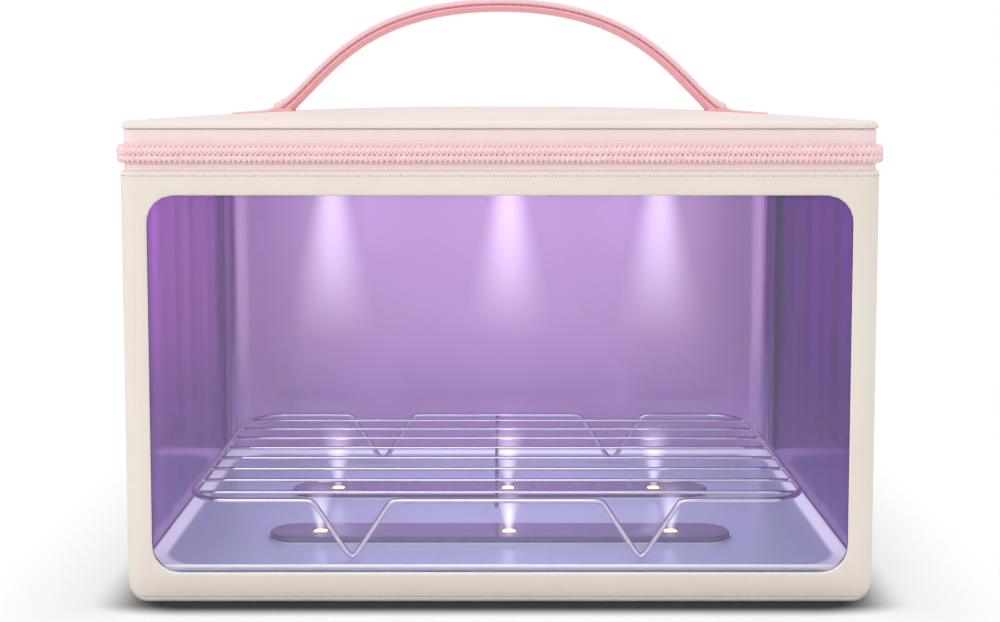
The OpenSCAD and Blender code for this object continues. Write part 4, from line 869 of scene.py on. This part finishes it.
slope_t = np.linspace(0, 1, 14)
slope_in = 0.0052 * slope_t + 0.0012
slope_z = floor_z + (tray_top - floor_z) * (1 - slope_t) ** 1.15
tray_rows = [ring(tray_w, tray_d, tray_r, floor_z - 0.001), ring(tray_w, tray_d, tray_r, tray_top - 0.0003),
             ring(tray_w - 0.0004, tray_d - 0.0004, 0.0062, tray_top),
             ring(tray_w - 0.0018, tray_d - 0.0018, 0.0058, tray_top + 0.00005)]
tray_rows += [ring(tray_w - 2 * a, tray_d - 2 * a, 0.0060 + 2.0 * a, z)
              for a, z in zip(slope_in, slope_z)]
tray_rows += [ring((tray_w - floor_margin) * s, (tray_d - floor_margin) * s, floor_r * s, floor_z)
              for s in (0.97, 0.85, 0.6, 0.3)]
tray_rows += [tray_rows[-1] * [0, 0, 1] + [0, liner_y, 0]]
floor_pan = surface("floor_pan", [np.stack(tray_rows)])
# Vacuum-formed styrene sheet: a broad soft sheen over faint waves, and painted light, nearly white, on the
# rim
pan_plastic, pan_tree, pan_shader = finish("formed_lavender_plastic", "#a5acd3", 0.26, metallic=0.25,
                                           coat_weight=0.25, coat_roughness=0.15)
pan_place = add(pan_tree, "ShaderNodeTexCoord").outputs["Object"]
pan_noise = add(pan_tree, "ShaderNodeTexNoise", {"Vector": pan_place, "Scale": 24.0, "Detail": 3.0})
pan_bump = add(pan_tree, "ShaderNodeBump", {"Height": pan_noise.outputs["Fac"], "Strength": 0.25,
                                            "Distance": 0.0006})
pan_tree.links.new(pan_bump.outputs[0], pan_shader.inputs["Normal"])
pan_tone = add(pan_tree, "ShaderNodeMix",
               {0: pan_noise.outputs["Fac"], 6: linear("#949fc2"), 7: linear("#a2aecf")}, data_type="RGBA")
pan_split = add(pan_tree, "ShaderNodeSeparateXYZ", {0: pan_place})
pan_rim_painted_light = add(pan_tree, "ShaderNodeMapRange",
              {0: pan_split.outputs[2], 1: floor_z + 0.0001, 2: floor_z + 0.0006})
pan_all = add(pan_tree, "ShaderNodeMix",
              {0: pan_rim_painted_light.outputs[0], 6: pan_tone.outputs[2], 7: linear("#eef2ff")}, data_type="RGBA")
pan_tree.links.new(pan_all.outputs[2], pan_shader.inputs["Base Color"])
place(thicken(floor_pan, tray_t), pan_plastic, "case", "tray_lavender", "floor_tray")


# The light bars: dark glossy polycarbonate strips with half-round ends and a soft upper edge.
# Each has three square openings, with a light chip in each. Two lie on the tray, one hangs
# under the lid.
bar_l, bar_w, bar_h, chip_half = 0.179, 0.020, 0.0025, 0.0028
chip_xs = (-0.0700, 0.0035, 0.0665)
bar_spots = {"front": (-0.0510, floor_z, 1, "case"), "rear": (0.0115, floor_z, 1, "case"),
             "lid": (-0.0046, 0.1685, -1, "lid")}


def stadium(less):
    """Half-round-ended outline of a bar, less a margin, as points."""
    angle = np.linspace(-math.pi / 2, math.pi / 2, 25)
    r, reach = bar_w / 2 - less, bar_l / 2 - bar_w / 2
    right = np.stack([reach + r * np.cos(angle), r * np.sin(angle)], -1)
    return np.concatenate([right, -right, right[:1]])


def cut(piece, cutters):
    """Cuts closed shapes out of a piece and leaves its new edges sharp."""
    for cutter in cutters:
        knife = piece.modifiers.new("cut", "BOOLEAN")
        knife.operation = "DIFFERENCE"
        knife.object = cutter
        knife.solver = "EXACT"
    bpy.context.view_layer.update()
    shaped = piece.evaluated_get(bpy.context.evaluated_depsgraph_get())
    mesh = bpy.data.meshes.new_from_object(shaped)
    piece.modifiers.clear()
    piece.data = mesh
    for cutter in cutters:
        bpy.data.objects.remove(cutter)
    mesh.set_sharp_from_angle(angle=math.radians(40))
    return piece


def dress(names, paint):
    """Gives CAD nodes a finish of their own."""
    for name in names:
        nodes[name].data.materials.clear()
        nodes[name].data.materials.append(paint)


def block(low, high):
    """A closed box between two corners, for cutting."""
    mesh = bpy.data.meshes.new("block")
    work = bmesh.new()
    bmesh.ops.create_cube(work, size=1)
    size, middle = (Vector(high) - Vector(low)), (Vector(high) + Vector(low)) / 2
    bmesh.ops.scale(work, vec=size, verts=work.verts)
    bmesh.ops.translate(work, vec=middle, verts=work.verts)
    work.to_mesh(mesh)
    work.free()
    made = bpy.data.objects.new("block", mesh)
    bpy.context.scene.collection.objects.link(made)
    return made


# Smoked polycarbonate, polished: dark and mirror-like; a pale band at its foot is painted light from the tray
gloss, gloss_tree, gloss_shader = finish("smoked_violet_polycarbonate", "#5c4f7f", 0.12, coat_weight=0.6,
                                         coat_roughness=0.05, metallic=0.25)
gloss_spot = add(gloss_tree, "ShaderNodeTexCoord").outputs["Object"]
gloss_noise = add(gloss_tree, "ShaderNodeTexNoise", {"Vector": gloss_spot, "Scale": 60.0})
gloss_bump = add(gloss_tree, "ShaderNodeBump", {"Height": gloss_noise.outputs["Fac"], "Strength": 0.02,
                                                "Distance": 0.0003})
gloss_tree.links.new(gloss_bump.outputs[0], gloss_shader.inputs["Normal"])
gloss_z = add(gloss_tree, "ShaderNodeSeparateXYZ", {0: gloss_spot})
gloss_foot_painted_light = add(gloss_tree, "ShaderNodeMapRange", {0: gloss_z.outputs[2], 1: floor_z + 0.0007,
                                                    2: floor_z + 0.0004})
gloss_tone = add(gloss_tree, "ShaderNodeMix", {0: gloss_foot_painted_light.outputs[0], 6: linear("#574a7a"),
                                               7: linear("#d6cdf0")}, data_type="RGBA")
gloss_tree.links.new(gloss_tone.outputs[2], gloss_shader.inputs["Base Color"])
# A bar's section as (margin, height), from the middle of its foot to the middle of its top
for name, (y, z, up, body) in bar_spots.items():
    rows = [(0.0, 0.0), (0.0, 0.0018), (0.0002, 0.0022), (0.0006, 0.00245), (0.0011, bar_h), (0.004, bar_h)]
    levels = [np.concatenate([stadium(less) + [0, y], np.full((51, 1), z + up * h)], 1) for less, h in rows]
    middle = [levels[k] * [0, 0, 1] + [0, y, 0] for k in (0, -1)]
    grid = np.stack([middle[0], *levels, middle[1]])
    bar = surface(name + "_light_bar", [grid[:, ::up]])
    low, high = sorted((z - up * 0.001, z + up * 0.004))
    cutters = [block((x - chip_half, y - chip_half, low), (x + chip_half, y + chip_half, high))
               for x in chip_xs]
    place(cut(bar, cutters), gloss, body, "led_bar", name + "_led_bar")

# White solder mask on the bars' circuit boards, which shows pale in the openings round the chips
dress([name + "_led_board" for name in bar_spots], finish("white_circuit_board", "#e4e0d6", 0.5)[0])

# The chips shine: pale yellow phosphor behind a clear window
chip_paint, _, chip_shader = finish("lit_phosphor", "#fff2b8", 0.3, emission_strength=1.0)
chip_shader.inputs["Emission Color"].default_value = linear("#f8dd72")
dress([name + "_leds" for name in bar_spots], chip_paint)

# Light beams in the air over each chip, as (length, narrow radius, wide radius, brightness), and
# the violet light that they shed in the case
beam_shapes = {"front": (0.019, 0.0018, 0.0082, 260.0), "rear": (0.029, 0.0018, 0.0112, 190.0),
               "lid": (0.088, 0.0032, 0.0240, 85.0)}


def beam(name, apex, up, length, near, far, strength):
    """A cone of lit air: brightness (1 - (r / R)^2)^2 (1 - t)^1.5 at radius r and share t of its length."""
    made = bpy.data.materials.new(name)
    made.use_nodes = True
    tree = made.node_tree
    tree.nodes.clear()
    spot = add(tree, "ShaderNodeTexCoord").outputs["Object"]
    local = add(tree, "ShaderNodeVectorMath", {0: spot, 1: apex}, operation="SUBTRACT")
    split = add(tree, "ShaderNodeSeparateXYZ", {0: local.outputs[0]})
    t = add(tree, "ShaderNodeMath", {0: split.outputs[2], 1: up / length}, operation="MULTIPLY",
            use_clamp=True)
    squares = [add(tree, "ShaderNodeMath", {0: split.outputs[k], 1: split.outputs[k]}, operation="MULTIPLY")
               for k in (0, 1)]
    total = add(tree, "ShaderNodeMath", {k: squares[k].outputs[0] for k in (0, 1)}, operation="ADD")
    radius = add(tree, "ShaderNodeMath", {0: total.outputs[0]}, operation="SQRT")
    size = add(tree, "ShaderNodeMath", {0: t.outputs[0], 1: far - near, 2: near}, operation="MULTIPLY_ADD")
    ratio = add(tree, "ShaderNodeMath", {0: radius.outputs[0], 1: size.outputs[0]}, operation="DIVIDE")
    off = add(tree, "ShaderNodeMath", {0: ratio.outputs[0], 1: ratio.outputs[0]}, operation="MULTIPLY")
    inside = add(tree, "ShaderNodeMath", {0: 1.0, 1: off.outputs[0]}, operation="SUBTRACT", use_clamp=True)
    heart = add(tree, "ShaderNodeMath", {0: inside.outputs[0], 1: 2.0}, operation="POWER")
    left_over = add(tree, "ShaderNodeMath", {0: 1.0, 1: t.outputs[0]}, operation="SUBTRACT", use_clamp=True)
    fade = add(tree, "ShaderNodeMath", {0: left_over.outputs[0], 1: 1.5}, operation="POWER")
    lit = add(tree, "ShaderNodeMath", {0: heart.outputs[0], 1: fade.outputs[0]}, operation="MULTIPLY")
    power = add(tree, "ShaderNodeMath", {0: lit.outputs[0], 1: strength}, operation="MULTIPLY")
    glow_shader = add(tree, "ShaderNodeEmission", {"Color": linear("#f3ecff"), "Strength": power.outputs[0]})
    add(tree, "ShaderNodeOutputMaterial", {"Volume": glow_shader.outputs[0]})
    share = np.linspace(0, 1, 9)
    angle = np.linspace(0, 2 * math.pi, 25)
    wide = near + (far - near) * share
    grid = np.stack(np.broadcast_arrays(wide[:, None] * np.cos(angle), wide[:, None] * np.sin(angle),
                                        (up * length * share)[:, None]), -1)
    tips = [grid[k, :1] * [0, 0, 1] + np.zeros((25, 3)) for k in (0, -1)]
    cone = surface(name, [np.concatenate([tips[0][None], grid, tips[1][None]])[:, ::up] + np.array(apex)])
    cone.data.materials.append(made)
    return cone


for name, (y, z, up, body) in bar_spots.items():
    length, near, far, strength = beam_shapes[name]
    for k, x in enumerate(chip_xs):
        tip = (x, y, z + up * (bar_h + 0.0002))
        cone = beam(f"{name}_beam_{k}", tip, up, length, near, far, strength)
        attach(cone, body)
        cone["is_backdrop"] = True
soft_box("lid_glow", (0, liner_y, 0.1655), (0, liner_y, 0), (0.22, 0.14), 0.42, "#fbf2ff", "lid", hidden=True)
soft_box("floor_glow", (0, 0.0, 0.014), (0, 0, 1), (0.22, 0.10), 0.03, "#f2f2ff", "case", hidden=True)


# The rack: chromed steel wire. One 2 mm wire makes the frame and dips into the four V legs;
# eight 1.5 mm wires are welded between its sides, and one runs under them.
rack_w, rack_d, rack_r, rack_x, rack_y, rack_z = 0.2290, 0.1424, 0.017, -0.0013, -0.0108, 0.033
leg_x, leg_half, leg_drop, leg_soft, knee_soft = 0.0532, 0.0144, 0.0217, 0.0011, 0.0016
rack_points, rack_normals, rack_length = outline(rack_w, rack_d, rack_r, side=40, corner=20)
fine_length = np.linspace(0, rack_length[-1], 1400)
frame_xy, frame_out = along((rack_points, rack_normals, rack_length), fine_length)
# A leg's depth is drop * (1 - |x - leg| / half), softened at its tip and at both knees
off_leg = np.sqrt((np.abs(frame_xy[:, 0]) - leg_x) ** 2 + leg_soft ** 2)
depth = leg_drop * 1.045 * (1 - off_leg / leg_half)
depth = (depth + np.sqrt(depth ** 2 + knee_soft ** 2)) / 2
on_run = np.abs(np.abs(frame_xy[:, 1]) - rack_d / 2) < 1e-4
frame_height = rack_z - np.where(on_run, np.maximum(depth - 0.00006, 0), 0)
frame_line = np.concatenate([frame_xy + [rack_x, rack_y], frame_height[:, None]], 1)
frame_across = np.concatenate([frame_out, np.zeros((len(frame_out), 1))], 1)
frame_line[-1] = frame_line[0]
rack_ring = surface("rack_frame_wire", [rod_grid(frame_line, frame_across, 0.001, 12, caps=False)])
# Chrome plate: a near mirror that takes the lavender round it, a little uneven in its polish
chrome, chrome_tree, chrome_shader = finish("chromed_steel_wire", "#dad2e6", 0.07, metallic=1.0)
chrome_noise = add(chrome_tree, "ShaderNodeTexNoise",
                   {"Vector": add(chrome_tree, "ShaderNodeTexCoord").outputs["Object"], "Scale": 500.0})
chrome_rough = add(chrome_tree, "ShaderNodeMapRange", {"Value": chrome_noise.outputs["Fac"], "To Min": 0.04,
                                                       "To Max": 0.12})
chrome_tree.links.new(chrome_rough.outputs[0], chrome_shader.inputs["Roughness"])
place(rack_ring, chrome, "rack", "chrome_wire", "rack_frame")

cross_pitch, cross_r, weld_half, weld_r = 0.0172, 0.00075, 0.0011, 0.00105
centre_past, centre_drop = 0.0008, 0.00175
cross_ys = (np.arange(8) - 3.5) * cross_pitch
past_bend = np.maximum(np.abs(cross_ys) - (rack_d / 2 - rack_r), 0)
cross_halves = rack_w / 2 - (rack_r - np.sqrt(rack_r ** 2 - past_bend ** 2)) - 0.0004
cross_grids, weld_grids = [], []
for y, half in zip(cross_ys, cross_halves):
    x = np.linspace(-half, half, 24)
    line = np.stack([x + rack_x, np.full(24, y + rack_y), np.full(24, rack_z)], -1)
    cross_grids.append(rod_grid(line, np.tile([0.0, 0.0, 1.0], (24, 1)), cross_r, 10))
    for side in (-1, 1):
        s = np.linspace(-1, 1, 9)
        bead = np.stack([side * (half - 0.0003) + rack_x + weld_half * s, np.full(9, y + rack_y),
                         np.full(9, rack_z)], -1)
        weld_grids.append(rod_grid(bead, np.tile([0.0, 0.0, 1.0], (9, 1)),
                                   weld_r * np.sqrt(np.clip(1 - s ** 2, 0.0004, 1)), 10))
place(surface("rack_cross_bars", cross_grids + weld_grids), chrome, "rack", "chrome_wire",
      "rack_cross_wires")
centre_y = np.linspace(-rack_d / 2 - centre_past, rack_d / 2 + centre_past, 40)
centre_line = np.stack([np.full(40, rack_x), centre_y + rack_y, np.full(40, rack_z - centre_drop)], -1)
# The wire beneath is darker and duller than the rest: its dark colour is painted shade
centre_wire_finish = finish("centre_wire_painted_shade", "#7f7399", 0.16, metallic=1.0)[0]
place(surface("rack_centre_bar", [rod_grid(centre_line, np.tile([0.0, 0.0, 1.0], (40, 1)), cross_r, 10)]),
      centre_wire_finish, "rack", "chrome_wire", "rack_centre_wire")


# The control plate low on the back: warm white moulded ABS with a push button, a light guide
# and the charging socket's slot. The mould's fine spark grain leaves it matt.
plate_y, plate_z, plate_w, plate_h, plate_t = body_d / 2, 0.036, 0.064, 0.024, 0.0012
plate_r, button_x, button_hole_r, lens_hole_r = 0.005, -0.014, 0.0053, 0.0015
socket_x, slot_w, slot_h, slot_r, cut_from, cut_to = 0.015, 0.0095, 0.0038, 0.00185, -0.0045, 0.0025
plastic, plastic_tree, plastic_shader = finish("warm_white_abs", "#efece4", 0.38)
plastic_noise = add(plastic_tree, "ShaderNodeTexNoise",
                    {"Vector": add(plastic_tree, "ShaderNodeTexCoord").outputs["Object"], "Scale": 2500.0})
plastic_bump = add(plastic_tree, "ShaderNodeBump", {"Height": plastic_noise.outputs["Fac"], "Strength": 0.2,
                                                    "Distance": 0.00003})
plastic_tree.links.new(plastic_bump.outputs[0], plastic_shader.inputs["Normal"])


def upright(points, y):
    """Turns flat points (x, height) into points of a plate at a depth."""
    return np.stack([points[:, 0], np.full(len(points), y), points[:, 1]], -1)


# The plate's edge as (margin, depth outwards), and the button's as (radius, depth outwards)
plate_turn = ((0, -0.001), (0, 0.0006), (0.00015, 0.0009), (0.0005, 0.0011), (0.0009, plate_t),
              (0.004, plate_t))
plate_levels = []
for less, out in plate_turn:
    flat = outline(plate_w - 2 * less, plate_h - 2 * less, max(plate_r - less, 0.001), 24, 11)[0]
    flat = flat + [0, plate_z]
    plate_levels.append(upright(flat, plate_y + out))
plate_ends = [plate_levels[k].mean(axis=0) + 0 * plate_levels[0] for k in (0, -1)]
plate_piece = surface("control_panel", [np.stack([plate_ends[0], *plate_levels, plate_ends[1]])])


def circle(x, r, count):
    """A round outline on the plate's middle line: (x + r cos a, height + r sin a)."""
    a = np.linspace(0, 2 * math.pi, count + 1)
    return np.stack([x + r * np.cos(a), plate_z + r * np.sin(a)], -1)


def through_plate(flat):
    """A closed prism through the plate over a flat outline, for cutting."""
    rows = [upright(flat, plate_y + depth) for depth in (cut_from, cut_to)]
    tips = [row.mean(axis=0) + 0 * row for row in rows]
    return surface("plate_cutter", [np.stack([tips[0], *rows, tips[1]])])


openings = [circle(button_x, button_hole_r, 40), circle(0, lens_hole_r, 24),
            outline(slot_w, slot_h, slot_r, 8, 11)[0] + [socket_x, plate_z]]
place(cut(plate_piece, [through_plate(flat) for flat in openings]), plastic, "case", "plate_white",
      "control_plate")

# The button: a round cap with a shallow dish and a soft edge, held by a flange behind the plate
button_rows = np.array([
    (0.0062, -0.0021), (0.0062, -0.0013), (0.0050, -0.0013), (0.0050, 0.0014), (0.0049, 0.0018),
    (0.0046, 0.0020), (0.0038, 0.00195), (0.0024, 0.00175), (0.0010, 0.00165), (0, 0.00163),
])
a = np.linspace(0, 2 * math.pi, 49)
button_grid = np.stack(np.broadcast_arrays(
    button_x + button_rows[:, :1] * np.cos(a), plate_y + button_rows[:, 1:],
    plate_z + button_rows[:, :1] * np.sin(a)), -1)
button_back = button_grid[:1].mean(axis=1, keepdims=True) + 0 * button_grid[:1]
button_cap = surface("button_cap", [np.concatenate([button_back, button_grid])])
place(button_cap, plastic, "button", "plate_white", "power_button")


# The two sliders and their pulls, die-cast zinc with a baked pink enamel. They part on the
# right wall; each pull hangs from its bridge. The enamel is smooth, with a bright wet shine.
enamel, enamel_tree, enamel_shader = finish("pink_enamelled_zinc", "#f0b6be", 0.22, metallic=0.25,
                                            coat_weight=0.8, coat_roughness=0.06)
enamel_noise = add(enamel_tree, "ShaderNodeTexNoise",
                   {"Vector": add(enamel_tree, "ShaderNodeTexCoord").outputs["Object"], "Scale": 700.0})
enamel_tone = add(enamel_tree, "ShaderNodeMix", {0: enamel_noise.outputs["Fac"], 6: linear("#ecacb5"),
                                                 7: linear("#f5c0c7")}, data_type="RGBA")
enamel_tree.links.new(enamel_tone.outputs[2], enamel_shader.inputs["Base Color"])
dress(("front_slider", "rear_slider", "front_pull", "rear_pull"), enamel)


# What lies inside the walls: boards, foam, the electronics and their leads. It shows only when
# the case is taken apart, and each has the plain finish of its own stuff.
def speckled(name, colour, dark, roughness, scale, **sockets):
    """A plain finish with a fine fleck of a given number of grains a metre."""
    made, tree, shader = finish(name, colour, roughness, **sockets)
    spot = add(tree, "ShaderNodeTexCoord").outputs["Object"]
    spot_noise = add(tree, "ShaderNodeTexNoise", {"Vector": spot, "Scale": scale, "Detail": 3.0})
    tone = add(tree, "ShaderNodeMix", {0: spot_noise.outputs["Fac"], 6: linear(dark), 7: linear(colour)},
               data_type="RGBA")
    tree.links.new(tone.outputs[2], shader.inputs["Base Color"])
    return made


inner_finishes = {
    speckled("pressed_fibreboard", "#c4ab84", "#8d7654", 0.85, 900.0): [
        "base_board", "front_board", "left_board", "right_board", "back_board", "bay_board",
        "lid_board", "lid_band"],
    speckled("white_foam", "#f4f1ea", "#dfdbd2", 0.95, 1400.0): ["backing_foam", "lid_foam"],
    speckled("dark_foam", "#4b4b52", "#333339", 0.95, 1400.0): ["base_foam"],
    speckled("silver_pouch", "#b9bdc4", "#9a9ea6", 0.35, 120.0, metallic=0.8): ["battery_pack"],
    speckled("green_circuit_board", "#2c6d49", "#1f5236", 0.4, 500.0): ["driver_board"],
    speckled("black_moulding", "#2b2d31", "#1d1f22", 0.5, 900.0): [
        "driver_parts", "tact_switch", "lid_sensor"],
    speckled("bright_steel", "#c6c8cc", "#a9abb0", 0.28, 700.0, metallic=1.0): ["board_screws", "lid_magnet"],
    speckled("clear_light_guide", "#dfeaff", "#c9d8f5", 0.1, 200.0, transmission_weight=0.8): ["status_lens"],
    speckled("dark_flat_cable", "#3a3a43", "#26262c", 0.5, 900.0): ["wiring_harness", "lid_lead"],
}
for paint, names in inner_finishes.items():
    dress(names, paint)

# The charging socket is a drawn steel shell round a black tongue and insulator: past 4.1 mm from
# its middle, or 1.25 mm above or below, it is steel
shell, shell_tree, shell_shader = finish("drawn_steel_shell", "#8d9096", 0.3, metallic=1.0)
shell_spot = add(shell_tree, "ShaderNodeTexCoord").outputs["Object"]
shell_off = add(shell_tree, "ShaderNodeVectorMath", {0: shell_spot, 1: (socket_x, 0.0, plate_z)},
                operation="SUBTRACT")
shell_abs = add(shell_tree, "ShaderNodeVectorMath", {0: shell_off.outputs[0]}, operation="ABSOLUTE")
shell_in = add(shell_tree, "ShaderNodeVectorMath", {0: shell_abs.outputs[0], 1: (0.0041, 1.0, 0.00125)},
               operation="SUBTRACT")
shell_far = add(shell_tree, "ShaderNodeSeparateXYZ", {0: shell_in.outputs[0]})
shell_most = add(shell_tree, "ShaderNodeMath", {0: shell_far.outputs[0], 1: shell_far.outputs[2]},
                 operation="MAXIMUM")
shell_out = add(shell_tree, "ShaderNodeMath", {0: shell_most.outputs[0], 1: 0.0}, operation="GREATER_THAN")
shell_tone = add(shell_tree, "ShaderNodeMix",
                 {0: shell_out.outputs[0], 6: linear("#17171a"), 7: linear("#8d9096")}, data_type="RGBA")
shell_tree.links.new(shell_tone.outputs[2], shell_shader.inputs["Base Color"])
shell_tree.links.new(shell_out.outputs[0], shell_shader.inputs["Metallic"])
dress(["usb_socket"], shell)

low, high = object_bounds()
